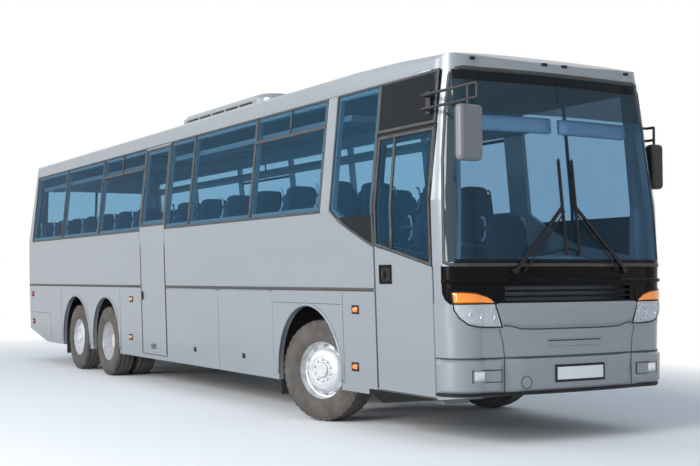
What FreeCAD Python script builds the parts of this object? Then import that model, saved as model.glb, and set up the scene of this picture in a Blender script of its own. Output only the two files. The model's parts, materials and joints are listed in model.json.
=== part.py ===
"""Three-axle touring coach, one node for each piece that can be taken off.

Millimetres. +X points forward, +Y to the left, +Z up. The origin lies on the ground, under
the middle of the overall length, which the mirrors add to at the front. The front wheels
are parked steered to the left.
"""
import FreeCAD
import Part
import math
import os
import re
import Sketcher
from FreeCAD import Placement, Rotation, Vector

doc = FreeCAD.newDocument("coach")
sheet = doc.addObject("Spreadsheet::Sheet", "Sizes")

# Driving dimensions: alias, value, what it measures
SIZES = [
    # Body shell
    ("nose_x", 6600, "foremost point of the body, low on the centre line"),
    ("tail_x", -6930, "rearmost point of the body"),
    ("screen_lean", 205, "how far the nose leans back from the belt to the roof"),
    ("tail_lean", 150, "how far the tail leans forward from the belt to the roof"),
    ("half_sill", 1190, "half width at the sills"),
    ("half_belt", 1232, "half width at the belt"),
    ("half_waist", 1250, "half width under the side windows"),
    ("half_eaves", 1138, "half width at the eaves"),
    ("sill_z", 356, "underside of the side walls"),
    ("step_under_z", 293, "underside of the step box below the front door"),
    ("nose_under_z", 442, "underside of the body at the nose"),
    ("cowl_z", 1540, "lower edge of the windscreen"),
    ("belt_z", 1310, "top of the luggage flaps"),
    ("waist_z", 2110, "lower edge of the side windows"),
    ("eaves_z", 3250, "top of the side windows"),
    ("crown_z", 3510, "top of the roof on the centre line"),
    ("roof_drop", 122, "how far the roof falls from its crown to its shoulders"),
    ("tail_under_z", 595, "underside of the body at the tail"),
    ("tail_rise_x", -5750, "where the underside starts to rise to the tail"),
    ("wall", 55, "thickness of the shell"),
    ("pane", 8, "thickness of the glass"),
    ("panel_gap", 8, "gap around doors, flaps and lamps"),
    # Wheels and axles
    ("tyre_radius", 512, "radius of the tyres on the ground"),
    ("tyre_width", 290, "width of one tyre"),
    ("rim_radius", 300, "radius of the rim's flange"),
    ("wheel_face", 1200, "outer face of the tyres from the centre line"),
    ("twin_pitch", 335, "distance between the tyres of a twin wheel"),
    ("front_axle_x", 4020, "front axle"),
    ("drive_axle_x", -2540, "drive axle"),
    ("tag_axle_x", -3990, "trailing axle"),
    ("kingpin_y", 950, "kingpins from the centre line"),
    ("steer_rest", 21, "angle the front wheels are parked at, to the left"),
    ("spindle_radius", 45, "radius of the spindles"),
    ("spindle_fit", 0.05, "running clearance of the spindles and pins"),
    # Wheel arches
    ("arch_ahead", 560, "arch ahead of the front axle"),
    ("arch_behind", 810, "arch behind the front axle"),
    ("arch_top_z", 1160, "top of the arches"),
    ("drive_arch_ahead", 590, "arch ahead of the drive axle"),
    ("drive_arch_behind", 650, "arch behind the drive axle"),
    ("tag_arch_ahead", 640, "arch ahead of the trailing axle"),
    ("tag_arch_behind", 790, "arch behind the trailing axle"),
    ("housing_inner_y", 470, "inner wall of the wheel housings"),
    ("sheet", 6, "sheet metal of the housings"),
    # Doors
    ("door_front_x", 6240, "front edge of the front doorway"),
    ("door_rear_x", 5250, "rear edge of the front doorway"),
    ("door_top_z", 2780, "top of the front doorway"),
    ("door_sill_z", 410, "bottom of both doors"),
    ("mid_front_x", -70, "front edge of the middle doorway"),
    ("mid_rear_x", -1015, "rear edge of the middle doorway"),
    ("leaf", 42, "thickness of a door leaf"),
    ("door_arm", 500, "length of a door arm between its pivots"),
    ("column_inset", 290, "door column from the near edge of its doorway"),
    ("column_y", 1110, "door column from the centre line"),
    ("column_radius", 22, "radius of a door column"),
    ("arm_low_z", 900, "lower door arm"),
    ("arm_high_z", 1500, "upper door arm"),
    # Luggage bay
    ("bay_front_x", 3095, "front edge of the luggage bay's flaps"),
    ("bay_mid_x", 1630, "seam between the first and second flaps"),
    ("bay_rear_x", -70, "seam behind the second flaps"),
    ("bay_tail_x", -1750, "rear edge of the third flap"),
    ("flap", 30, "thickness of the luggage flaps"),
    # Floors
    ("deck_z", 1350, "passenger deck"),
    ("deck_plate", 40, "thickness of the deck"),
    ("deck_front_x", 4640, "front edge of the deck"),
    ("deck_rear_x", -6650, "rear edge of the deck"),
    ("deck_half", 1130, "half width of the deck"),
    ("cab_z", 950, "driver's floor"),
    ("cab_edge_y", 520, "edge of the driver's floor over the steps"),
    ("stair_y", 560, "inner edge of the stairwells"),
    # Underframe
    ("rail_y", 400, "inner faces of the frame rails"),
    ("rail_width", 70, "width of a rail"),
    ("rail_low_z", 800, "underside of the rails"),
    ("rail_high_z", 930, "top of the rails"),
    ("bay_floor_z", 430, "top of the luggage bay's floor"),
    # Seats
    ("seat_pitch", 800, "distance between the rows"),
    ("seat_width", 960, "width of a double seat"),
    ("seat_back_z", 2460, "top of the seat backs"),
    ("aisle_half", 150, "half width of the aisle"),
    # Roof
    ("pod_front_x", 2080, "front end of the air conditioning pod"),
    ("pod_rear_x", -650, "rear end of the pod"),
    ("pod_half", 820, "half width of the pod"),
    ("pod_top_z", 3650, "top of the pod"),
    ("hatch_size", 700, "side of the roof hatches' holes"),
    ("hatch_front_x", 3900, "middle of the front hatch"),
    ("hatch_rear_x", -3300, "middle of the rear hatch"),
    # Mirrors
    ("mirror_x", 6790, "middle of the mirror heads"),
    ("mirror_y", 1250, "middle of the mirror heads"),
    ("mirror_low_z", 2400, "bottom of the mirror heads"),
    ("mirror_high_z", 2860, "top of the mirror heads"),
]
for row, (alias, value, meaning) in enumerate(SIZES, 1):
    sheet.set("A%d" % row, meaning)
    sheet.set("B%d" % row, str(value))
    sheet.setAlias("B%d" % row, alias)
doc.recompute()


class Values:
    """The sheet's cells as plain numbers, for shapes that Part's functions make."""


S = Values()
for alias, value, meaning in SIZES:
    setattr(S, alias, float(sheet.get(alias)))

ALIAS = re.compile(r"\b(%s)\b" % "|".join(alias for alias, value, meaning in SIZES))
NODES = []


def bind(thing, prop, formula):
    """Bind one property to a formula written with the sheet's aliases."""
    thing.setExpression(prop, ALIAS.sub(r"Sizes.\1", str(formula)))


def place(thing, x=0, y=0, z=0):
    """Bind the place of an object to three formulas."""
    for axis, formula in zip("xyz", (x, y, z)):
        bind(thing, "Placement.Base." + axis, formula)


def block(name, x0, x1, y0, y1, z0, z1):
    """A Part::Box between six formulas."""
    thing = doc.addObject("Part::Box", name)
    bind(thing, "Length", "(%s) - (%s)" % (x1, x0))
    bind(thing, "Width", "(%s) - (%s)" % (y1, y0))
    bind(thing, "Height", "(%s) - (%s)" % (z1, z0))
    place(thing, x0, y0, z0)
    return thing


def side_block(name, side, x0, x1, y0, y1, z0, z1):
    """A block whose y limits count outward from the centre line on one side."""
    if side > 0:
        return block(name, x0, x1, y0, y1, z0, z1)
    return block(name, x0, x1, "-(%s)" % y1, "-(%s)" % y0, z0, z1)


def rod(name, radius, length, x, y, z, axis="Z"):
    """A Part::Cylinder that starts at a point and runs along +X, +Y or +Z."""
    thing = doc.addObject("Part::Cylinder", name)
    bind(thing, "Radius", radius)
    bind(thing, "Height", length)
    turn = {"X": Rotation(Vector(0, 1, 0), 90), "Y": Rotation(Vector(1, 0, 0), -90), "Z": Rotation()}
    thing.Placement = Placement(Vector(), turn[axis])
    place(thing, x, y, z)
    return thing


def side_rod(name, side, radius, y0, y1, x, z):
    """A cylinder along Y whose ends count outward from the centre line on one side."""
    start = y0 if side > 0 else "-(%s)" % y1
    return rod(name, radius, "(%s) - (%s)" % (y1, y0), x, start, z, "Y")


def node(thing, label):
    """Name the object whose shape is a node of the part."""
    thing.Label = label
    NODES.append(thing)
    return thing


def fused(label, things):
    """One piece made of overlapping or touching solids."""
    thing = doc.addObject("Part::MultiFuse", "fuse_" + label)
    thing.Shapes = things
    thing.Refine = True
    return node(thing, label)


def gathered(label, things):
    """Like pieces that don't touch, kept in one node."""
    thing = doc.addObject("Part::Compound", "set_" + label)
    thing.Links = things
    return node(thing, label)


def shaped(label, shape):
    """A piece of the curved shell, cut by Part's functions."""
    thing = doc.addObject("Part::Feature", "shape_" + label)
    thing.Shape = shape
    return node(thing, label)


def joined(shapes):
    """Several solids as one shape, fused where they meet."""
    whole = shapes[0]
    if len(shapes) > 1:
        whole = whole.fuse(shapes[1:]).removeSplitter()
    return whole


def cuboid(x0, x1, y0, y1, z0, z1):
    """A box between two corners."""
    return Part.makeBox(x1 - x0, y1 - y0, z1 - z0, Vector(x0, y0, z0))


def both_sides(x0, x1, y0, y1, z0, z1):
    """The same box on the left and mirrored on the right."""
    return [cuboid(x0, x1, y0, y1, z0, z1), cuboid(x0, x1, -y1, -y0, z0, z1)]


def prism(points, side, y0=600.0, y1=1500.0):
    """A side view's outline, x and z, as a solid between two y values on one side."""
    low = y0 if side > 0 else -y1
    wire = Part.makePolygon([Vector(x, low, z) for x, z in points + points[:1]])
    return Part.Face(wire).extrude(Vector(0, y1 - y0, 0))


# ---------------------------------------------------------------- the curved envelope
# Beyond the body to either side, above it, and beyond its ends
WIDE, HIGH, FAR = 1500, 4000, 9000
# Corners seen from above: how far behind the nose, and how far in from the side
NOSE, CHEEK, TEMPLE = (80, 285), (155, 62), (400, 0)
# Corners seen from above: how far ahead of the tail, and how far in from the side
STERN, HIP, FLANK = (22, 150), (42, 32), (130, 0)
# Roof's edge seen from the front: how far in from the eaves, and its share of the roof's drop
SHOULDER, ROOF_CORNER, EAVES = (120, 0.42), (32, 0.64), (-6, 1.35)
# Roof's fall toward the nose: x and fall
FALLS = [(-8000, 0), (4700, 0), (5500, 20), (6700, 92)]
# Brow and stern of the roof seen from the side: how far in from the end, and how far under the crown
BROW = [(20, 150), (330, 38), (1000, -1)]
ROOF_STERN = [(420, -1), (140, 28), (0, 110)]
# Share of the plan's bow that is lost between the belt and the roof
BOW_LOSS = 0.33
# Underside: how far behind the front door its step begins to fall, and where it is down
STEP_LEAD, STEP_RUN = 100, 80


def plan_wire(z, half, front, rear, bow):
    """The body seen from above at one height: nose and tail bowed by a share, round corners."""
    def arc(a, b, c):
        return Part.Arc(Vector(a[0], a[1], z), Vector(b[0], b[1], z), Vector(c[0], c[1], z)).toShape()

    def line(a, b):
        return Part.makeLine(Vector(a[0], a[1], z), Vector(b[0], b[1], z))

    nose, cheek, temple = [(front - back * bow, half - into) for back, into in (NOSE, CHEEK, TEMPLE)]
    stern, hip, flank = [(rear + ahead, half - into) for ahead, into in (STERN, HIP, FLANK)]
    return Part.Wire([
        arc((nose[0], -nose[1]), (front, 0), nose),
        arc(nose, cheek, temple),
        line(temple, flank),
        arc(flank, hip, stern),
        arc(stern, (rear, 0), (stern[0], -stern[1])),
        arc((stern[0], -stern[1]), (hip[0], -hip[1]), (flank[0], -flank[1])),
        line((flank[0], -flank[1]), (temple[0], -temple[1])),
        arc((temple[0], -temple[1]), (cheek[0], -cheek[1]), (nose[0], -nose[1])),
    ])


def envelope(inset):
    """The closed outer form of the body, drawn in by an inset all round but the underside."""
    top_z = S.crown_z + 200
    rise = (top_z - S.cowl_z) / (S.eaves_z - S.cowl_z)
    waist_share = (S.waist_z - S.cowl_z) / (S.eaves_z - S.cowl_z)
    narrow = (S.half_waist - S.half_eaves) / (S.eaves_z - S.waist_z)
    # Levels: z, half width, share of the lean reached there, share of the bow
    levels = [
        (S.sill_z - 100, S.half_sill, 0, 1),
        (S.cowl_z, S.half_belt, 0, 1),
        (S.waist_z, S.half_waist, waist_share, 1 - BOW_LOSS * waist_share),
        (top_z, S.half_waist - narrow * (top_z - S.waist_z), rise, 1 - BOW_LOSS * rise),
    ]
    wires = []
    for z, half, share, bow in levels:
        front = S.nose_x - S.screen_lean * share - inset
        rear = S.tail_x + S.tail_lean * share + inset
        wires.append(plan_wire(z, half - inset, front, rear, bow))
    hull = Part.makeLoft(wires, True, True)

    # Roof: eaves arc and crown arc, seen from the front
    crown = S.crown_z - inset
    edge = S.half_eaves - inset
    shoulder, corner, eaves = [(edge - into, crown - S.roof_drop * share)
                               for into, share in (SHOULDER, ROOF_CORNER, EAVES)]

    def section(x, fall):
        """The roof's section at one place along the body, let down by a fall."""
        def up(point, side=1):
            return Vector(x, side * point[0], point[1] - fall)

        low, high = Vector(x, WIDE, 0), Vector(x, WIDE, eaves[1] - fall)
        low_right, high_right = Vector(x, -WIDE, 0), Vector(x, -WIDE, eaves[1] - fall)
        return Part.Wire([
            Part.makeLine(low_right, low),
            Part.makeLine(low, high),
            Part.makeLine(high, up(eaves)),
            Part.Arc(up(eaves), up(corner), up(shoulder)).toShape(),
            Part.Arc(up(shoulder), Vector(x, 0, crown - fall), up(shoulder, -1)).toShape(),
            Part.Arc(up(shoulder, -1), up(corner, -1), up(eaves, -1)).toShape(),
            Part.makeLine(up(eaves, -1), high_right),
            Part.makeLine(high_right, low_right),
        ])

    roof = Part.makeLoft([section(x, fall) for x, fall in FALLS], True, True)

    # Ends of the roof and the rising underside, seen from the side
    brow_x, stern_x = S.nose_x - S.screen_lean - inset, S.tail_x + S.tail_lean + inset

    def at(x, z):
        return Vector(x, -WIDE, z)

    brow = [at(brow_x - back, crown - under) for back, under in BROW]
    stern = [at(stern_x + ahead, crown - under) for ahead, under in ROOF_STERN]
    corners = [
        at(S.tail_x - STEP_LEAD, S.tail_under_z),
        at(S.tail_rise_x, S.sill_z),
        at(S.door_rear_x - STEP_LEAD, S.sill_z),
        at(S.door_rear_x + STEP_RUN, S.step_under_z),
        at(S.nose_x, S.nose_under_z),
        at(FAR, S.nose_under_z),
        at(FAR, brow[0].z),
        brow[0],
    ]
    back = [stern[2], at(-FAR, stern[2].z), at(-FAR, S.tail_under_z), corners[0]]
    profile = Part.Wire(
        [Part.makeLine(a, b) for a, b in zip(corners, corners[1:])]
        + [Part.Arc(*brow).toShape(), Part.makeLine(brow[2], stern[0]), Part.Arc(*stern).toShape()]
        + [Part.makeLine(a, b) for a, b in zip(back, back[1:])])
    ends = Part.Face(profile).extrude(Vector(0, 2 * WIDE, 0))
    return hull.common(roof).common(ends)


def half_at(z):
    """Half width of the body's side at a height below the belt's level."""
    low = S.sill_z - 100
    return S.half_sill + (S.half_belt - S.half_sill) * (z - low) / (S.cowl_z - low)


def layer(depth):
    """The outermost layer of the envelope."""
    return body_form.cut(envelope(depth))


body_form = envelope(0)
inner_form = envelope(S.wall)
shell = body_form.cut(inner_form)
SEAT_GAP = 0.3
glass_skin = layer(S.pane)
glass_rebate = layer(S.pane + SEAT_GAP)
leaf_skin = layer(S.leaf)
flap_skin = layer(S.flap)
flap_rebate = layer(S.flap + S.panel_gap)
corner_front_x = S.door_front_x
corner_rear_x = -6540.0

# ---------------------------------------------------------------- side walls and side glass
RIGHT, LEFT = -1, 1
# Side panes: rear x, front x, sides that have the pane
PANES = [
    (corner_rear_x, -4743, (RIGHT, LEFT)),
    (-4743, -2835, (RIGHT, LEFT)),
    (-2835, S.mid_rear_x, (RIGHT, LEFT)),
    (S.mid_rear_x, 759, (LEFT,)),
    (S.mid_front_x, 759, (RIGHT,)),
    (759, 2574, (RIGHT, LEFT)),
    (2574, 4220, (RIGHT, LEFT)),
]
QUARTER_X, SWEEP_X, DRIVER_PANE_X = 4440, 4830, 6100
SWEEP_Z, QUARTER_Z, DRIVER_Z = 1910, 1740, 1600
FRAME = 45
EDGE = 3
# Inner reach of the cuts through a side wall, of its arches, and a level below the whole side
CHEST, ARCH_INNER, UNDER = 1000, 900, 200


def pane_outlines(side):
    """Outlines, in x and z, of the panes of one side: the last ones have a swept lower edge."""
    top = S.eaves_z - 10
    outlines = []
    for rear, front, sides in PANES:
        if side in sides:
            outlines.append([(rear + EDGE, S.waist_z + EDGE), (front - EDGE, S.waist_z + EDGE),
                             (front - EDGE, top), (rear + EDGE, top)])
    quarter = [(QUARTER_X, top), (QUARTER_X, S.waist_z), (SWEEP_X, SWEEP_Z),
               (S.door_rear_x - 6, QUARTER_Z)]
    if side == RIGHT:
        header = S.door_top_z + 12
        outlines.append(quarter + [(S.door_rear_x - 6, top)])
        outlines.append([(S.door_rear_x + EDGE, header), (S.door_front_x - 40, header),
                         (S.door_front_x - 40, top), (S.door_rear_x + EDGE, top)])
    else:
        outlines.append(quarter + [(DRIVER_PANE_X, DRIVER_Z), (DRIVER_PANE_X, top)])
    return outlines


def drawn_in(points, inset):
    """A convex enough outline drawn toward the middle of its box by an inset on every side."""
    xs = [x for x, z in points]
    zs = [z for x, z in points]
    middle_x, middle_z = (min(xs) + max(xs)) / 2, (min(zs) + max(zs)) / 2
    scale_x = 1 - 2 * inset / (max(xs) - min(xs))
    scale_z = 1 - 2 * inset / (max(zs) - min(zs))
    return [(middle_x + (x - middle_x) * scale_x, middle_z + (z - middle_z) * scale_z) for x, z in points]


def arch_tool(side, rear, front, top):
    """A round-topped arch through one side wall."""
    radius = (front - rear) / 2
    spring = top - radius
    start = ARCH_INNER if side > 0 else -WIDE

    def at(x, z):
        return Vector(x, start, z)

    middle = (front + rear) / 2
    wire = Part.Wire([
        Part.makeLine(at(rear, UNDER), at(rear, spring)),
        Part.Arc(at(rear, spring), at(middle, top), at(front, spring)).toShape(),
        Part.makeLine(at(front, spring), at(front, UNDER)),
        Part.makeLine(at(front, UNDER), at(rear, UNDER)),
    ])
    return Part.Face(wire).extrude(Vector(0, WIDE - ARCH_INNER, 0))


# Arches: axle x, reach behind, reach ahead
ARCHES = [
    (S.front_axle_x, S.arch_behind, S.arch_ahead),
    (S.drive_axle_x, S.drive_arch_behind, S.drive_arch_ahead),
    (S.tag_axle_x, S.tag_arch_behind, S.tag_arch_ahead),
]
# Luggage flaps: name, side, rear x, front x
FLAPS = [
    ("flap_right_front", RIGHT, S.bay_mid_x, S.bay_front_x),
    ("flap_right_rear", RIGHT, S.bay_rear_x, S.bay_mid_x),
    ("flap_left_front", LEFT, S.bay_mid_x, S.bay_front_x),
    ("flap_left_middle", LEFT, S.bay_rear_x, S.bay_mid_x),
    ("flap_left_rear", LEFT, S.bay_tail_x, S.bay_rear_x),
]
FLAP_LIP = 30


def side_wall(side):
    """One side of the shell between its corners, with arches, doorways, flaps and windows cut."""
    y0, y1 = (CHEST, WIDE) if side > 0 else (-WIDE, -CHEST)
    wall = shell.common(cuboid(corner_rear_x, corner_front_x, y0, y1, 0, S.eaves_z))
    tools = [arch_tool(side, axle - behind, axle + ahead, S.arch_top_z) for axle, behind, ahead in ARCHES]
    rebates = []
    for name, flap_side, rear, front in FLAPS:
        if flap_side == side:
            rebates.append(flap_rebate.common(cuboid(rear, front, y0, y1, 0, S.belt_z)))
            tools.append(cuboid(rear + FLAP_LIP, front - FLAP_LIP, y0, y1, S.bay_floor_z,
                                S.belt_z - FLAP_LIP))
    if side == RIGHT:
        tools.append(cuboid(S.door_rear_x, S.door_front_x + 1, y0, y1, S.door_sill_z, S.door_top_z))
        tools.append(cuboid(S.mid_rear_x, S.mid_front_x, y0, y1, S.door_sill_z, S.eaves_z + 1))
    for outline in pane_outlines(side):
        rebates.append(glass_rebate.common(prism(drawn_in(outline, -EDGE), side)))
        if min(z for x, z in outline) < S.door_top_z:
            tools.append(prism(drawn_in(outline, FRAME), side))
    return wall.cut(tools + rebates)


for side, label in ((RIGHT, "side_wall_right"), (LEFT, "side_wall_left")):
    shaped(label, side_wall(side))
side_panes = []
for side in (RIGHT, LEFT):
    side_panes += [glass_skin.common(prism(outline, side)) for outline in pane_outlines(side)]

# ---------------------------------------------------------------- roof: centre, coves, end caps, hatches
CAP_FRONT_X, CAP_REAR_X, COVE_Y = 6170, -6500, 980
hatch_holes = []
for middle in (S.hatch_front_x, S.hatch_rear_x):
    reach = S.hatch_size / 2
    hatch_holes.append(cuboid(middle - reach, middle + reach, -reach, reach, S.belt_z, HIGH))
roof = shell.common(cuboid(-FAR, FAR, -WIDE, WIDE, S.eaves_z, HIGH))
caps = []
for x0, x1 in ((CAP_FRONT_X, FAR), (-FAR, CAP_REAR_X)):
    caps.append(cuboid(x0, x1, -WIDE, WIDE, S.eaves_z, HIGH))
coves = both_sides(CAP_REAR_X, CAP_FRONT_X, COVE_Y, WIDE, S.eaves_z, HIGH)
shaped("roof", roof.cut(hatch_holes + caps + coves))
shaped("roof_coves", Part.makeCompound([roof.common(zone) for zone in coves]))
shaped("roof_ends", Part.makeCompound([roof.common(zone) for zone in caps]))

HATCH_RIM, HATCH_THICK, HATCH_GAP, HATCH_BARREL = 45, 40, 0.5, 16
for label, middle in (("hatch_front", "hatch_front_x"), ("hatch_rear", "hatch_rear_x")):
    reach = "(hatch_size / 2 + %s)" % HATCH_RIM
    lid = block("lid_" + label, "%s - %s" % (middle, reach), "%s + %s" % (middle, reach), "-" + reach,
                reach, "crown_z + %s" % HATCH_GAP, "crown_z + %s" % (HATCH_GAP + HATCH_THICK))
    plug = block("plug_" + label, "%s - hatch_size / 2 + 10" % middle, "%s + hatch_size / 2 - 10" % middle,
                 "-hatch_size / 2 + 10", "hatch_size / 2 - 10", "crown_z - 25",
                 "crown_z + %s" % (HATCH_GAP + 5))
    barrel = rod("barrel_" + label, HATCH_BARREL, "hatch_size", "%s + %s" % (middle, reach),
                 "-hatch_size / 2", "crown_z + %s" % (HATCH_GAP + HATCH_THICK / 2), "Y")
    fused(label, [lid, plug, barrel])

# ---------------------------------------------------------------- nose
SEAM_Z, BUMPER_Z = 1224.0, 800.0
# Behind the nose's skin, and ahead of the tail's
NOSE_CUT_X, TAIL_CUT_X = 6300, -6300
front_shell = shell.common(cuboid(corner_front_x, FAR, -WIDE, WIDE, 0, S.eaves_z))
PILLAR = 62


def screen_outline(inset, x0, x1, low=None):
    """A tapered opening across the nose, seen from the front, as a solid along X."""
    z0 = S.cowl_z + inset
    z1 = S.eaves_z - inset
    y0 = S.half_belt - PILLAR - inset
    y1 = S.half_eaves - PILLAR - inset
    points = [Vector(x0, -y0, z0), Vector(x0, y0, z0), Vector(x0, y1, z1), Vector(x0, -y1, z1)]
    return Part.Face(Part.makePolygon(points + points[:1])).extrude(Vector(x1 - x0, 0, 0))


screen_zone = front_shell.common(cuboid(0, FAR, -WIDE, WIDE, S.cowl_z, S.eaves_z))
rebate = glass_rebate.common(screen_outline(4, corner_front_x + 4, FAR))
shaped("screen_frame", screen_zone.cut([rebate, screen_outline(60, 6000, FAR)]))
screen = glass_skin.common(screen_outline(8, corner_front_x + 8, FAR))
shaped("windscreen", screen.cut(cuboid(0, FAR, -4, 4, 0, FAR)))

# Lamps of the nose: name, inner y, outer y, low z, high z
NOSE_LAMPS = [("head", 750, 1165, 1030, 1205), ("turn", 800, 1178, 1215, 1330), ("fog", 850, 960, 560, 640)]
LAMP_REAR_X = 6330
lamp_holes, lamps = [], []
for name, y0, y1, z0, z1 in NOSE_LAMPS:
    gap = SEAT_GAP
    for hole in both_sides(LAMP_REAR_X, FAR, y0, y1, z0, z1):
        lamp_holes.append(hole)
    for core in both_sides(LAMP_REAR_X + gap, FAR, y0 + gap, y1 - gap, z0 + gap, z1 - gap):
        lamps.append(front_shell.common(core))

SLOT_HALF, SLOT = 710, 30
SLOT_LEVELS = (1240, 1288, 1336)
slots = [cuboid(NOSE_CUT_X, FAR, -SLOT_HALF, SLOT_HALF, z, z + SLOT) for z in SLOT_LEVELS]
cowl = front_shell.common(cuboid(0, FAR, -WIDE, WIDE, SEAM_Z, S.cowl_z))
shaped("cowl_grille", cowl.cut(slots + lamp_holes))
front_panel = front_shell.common(cuboid(0, FAR, -WIDE, WIDE, BUMPER_Z, SEAM_Z))
shaped("front_panel", front_panel.cut(lamp_holes))
TOW_RADIUS, TOW_Y, TOW_FRONT_Z, TOW_REAR_Z, TOW_DEEP = 22, 520, 545, 720, 1000
bumper = front_shell.common(cuboid(0, FAR, -WIDE, WIDE, 0, BUMPER_Z))
tow_front = Part.makeCylinder(TOW_RADIUS, TOW_DEEP, Vector(NOSE_CUT_X, -TOW_Y, TOW_FRONT_Z), Vector(1, 0, 0))
shaped("front_bumper", bumper.cut(lamp_holes + [tow_front]))
shaped("front_lamps", Part.makeCompound(lamps))

# ---------------------------------------------------------------- tail
rear_zone = cuboid(-FAR, corner_rear_x, -WIDE, WIDE, 0, S.eaves_z)
rear_shell = shell.common(rear_zone.fuse(cuboid(-FAR, -6200, -1000, 1000, 0, S.eaves_z)))
REAR_SEAM_Z = 900.0
ENGINE_DOOR = (-850.0, 850.0, 960.0, 1900.0)
REAR_PANE = (-960.0, 960.0, 2160.0, 3080.0)
# Tail lamps: inner y, outer y, low z, high z
TAIL_LAMPS = [(930, 1130, 980, 1180), (930, 1130, 1190, 1390), (930, 1130, 1400, 1600)]


def across(box, inset, x0=-FAR, x1=TAIL_CUT_X):
    """A cross-section's box, y0, y1, z0, z1, drawn in and run along X through the tail."""
    y0, y1, z0, z1 = box
    return cuboid(x0, x1, y0 + inset, y1 - inset, z0 + inset, z1 - inset)


tail_holes, tail_lamps = [], []
for y0, y1, z0, z1 in TAIL_LAMPS:
    gap = SEAT_GAP
    for hole in both_sides(-FAR, TAIL_CUT_X, y0, y1, z0, z1):
        tail_holes.append(hole)
    for core in both_sides(-FAR, TAIL_CUT_X, y0 + gap, y1 - gap, z0 + gap, z1 - gap):
        tail_lamps.append(rear_shell.common(core))
rear_wall = rear_shell.common(cuboid(-FAR, 0, -WIDE, WIDE, REAR_SEAM_Z, S.eaves_z))
door_rebate = flap_rebate.common(across(ENGINE_DOOR, 0))
pane_rebate = glass_rebate.common(across(REAR_PANE, 0))
rear_tools = [door_rebate, across(ENGINE_DOOR, FLAP_LIP), pane_rebate, across(REAR_PANE, FRAME)]
shaped("rear_wall", rear_wall.cut(rear_tools + tail_holes))
rear_pane = glass_skin.common(across(REAR_PANE, 4))
shaped("body_glass", Part.makeCompound(side_panes + [rear_pane]))
lid_hinge_z = ENGINE_DOOR[3] - S.panel_gap / 2 - SEAT_GAP
lid_hinge_x = S.tail_x + S.tail_lean * (lid_hinge_z - S.cowl_z) / (S.eaves_z - S.cowl_z)
PIN_FIT, LID_HINGE_HALF, HINGE_END = 0.1, 250, 80
lid_start = Vector(lid_hinge_x, -LID_HINGE_HALF, lid_hinge_z)
lid_hinge = Part.makeCylinder(S.panel_gap / 2 - PIN_FIT, 2 * LID_HINGE_HALF, lid_start, Vector(0, 1, 0))
shaped("engine_door", joined([flap_skin.common(across(ENGINE_DOOR, S.panel_gap)), lid_hinge]))
shaped("tail_lamps", Part.makeCompound(tail_lamps))
tow_rear = Part.makeCylinder(TOW_RADIUS, TOW_DEEP, Vector(-7200, TOW_Y, TOW_REAR_Z), Vector(1, 0, 0))
shaped("rear_bumper", rear_shell.common(cuboid(-FAR, 0, -WIDE, WIDE, 0, REAR_SEAM_Z)).cut(tow_rear))

# ---------------------------------------------------------------- luggage flaps
for name, side, rear, front in FLAPS:
    gap = S.panel_gap
    y0, y1 = (0, WIDE) if side > 0 else (-WIDE, 0)
    skin = flap_skin.common(cuboid(rear + gap / 2, front - gap / 2, y0, y1, S.sill_z + 2, S.belt_z - gap))
    hinge_z = S.belt_z - gap / 2 - SEAT_GAP
    start = Vector(rear + HINGE_END, side * half_at(hinge_z), hinge_z)
    hinge = Part.makeCylinder(gap / 2 - PIN_FIT, front - rear - 2 * HINGE_END, start, Vector(1, 0, 0))
    shaped(name, joined([skin, hinge]))

# ---------------------------------------------------------------- doors and their arms
PIN_RADIUS, EAR_GAP, EAR_THICK = 12, 3, 27
EAR_HALF, EAR_INSET, ARM_HALF, BORE_REACH, COLUMN_TOP = 28, 25, 15, 60, 120
# Doors: name, rear x, front x, top z, column x, direction of the arms, pane outline
DOORS = [
    ("door_front", S.door_rear_x, S.door_front_x, S.door_top_z, S.door_front_x - S.column_inset, -1,
     [(5325, 1720), (6165, 1600), (6165, 2715), (5325, 2715)]),
    ("door_mid", S.mid_rear_x, S.mid_front_x, S.eaves_z, S.mid_rear_x + S.column_inset, 1,
     [(-950, 2180), (-135, 2180), (-135, 3190), (-950, 3190)]),
]


def upright(radius, x, y, z0, z1):
    """A round bar along Z between two heights."""
    return Part.makeCylinder(radius, z1 - z0, Vector(x, y, z0))


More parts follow.
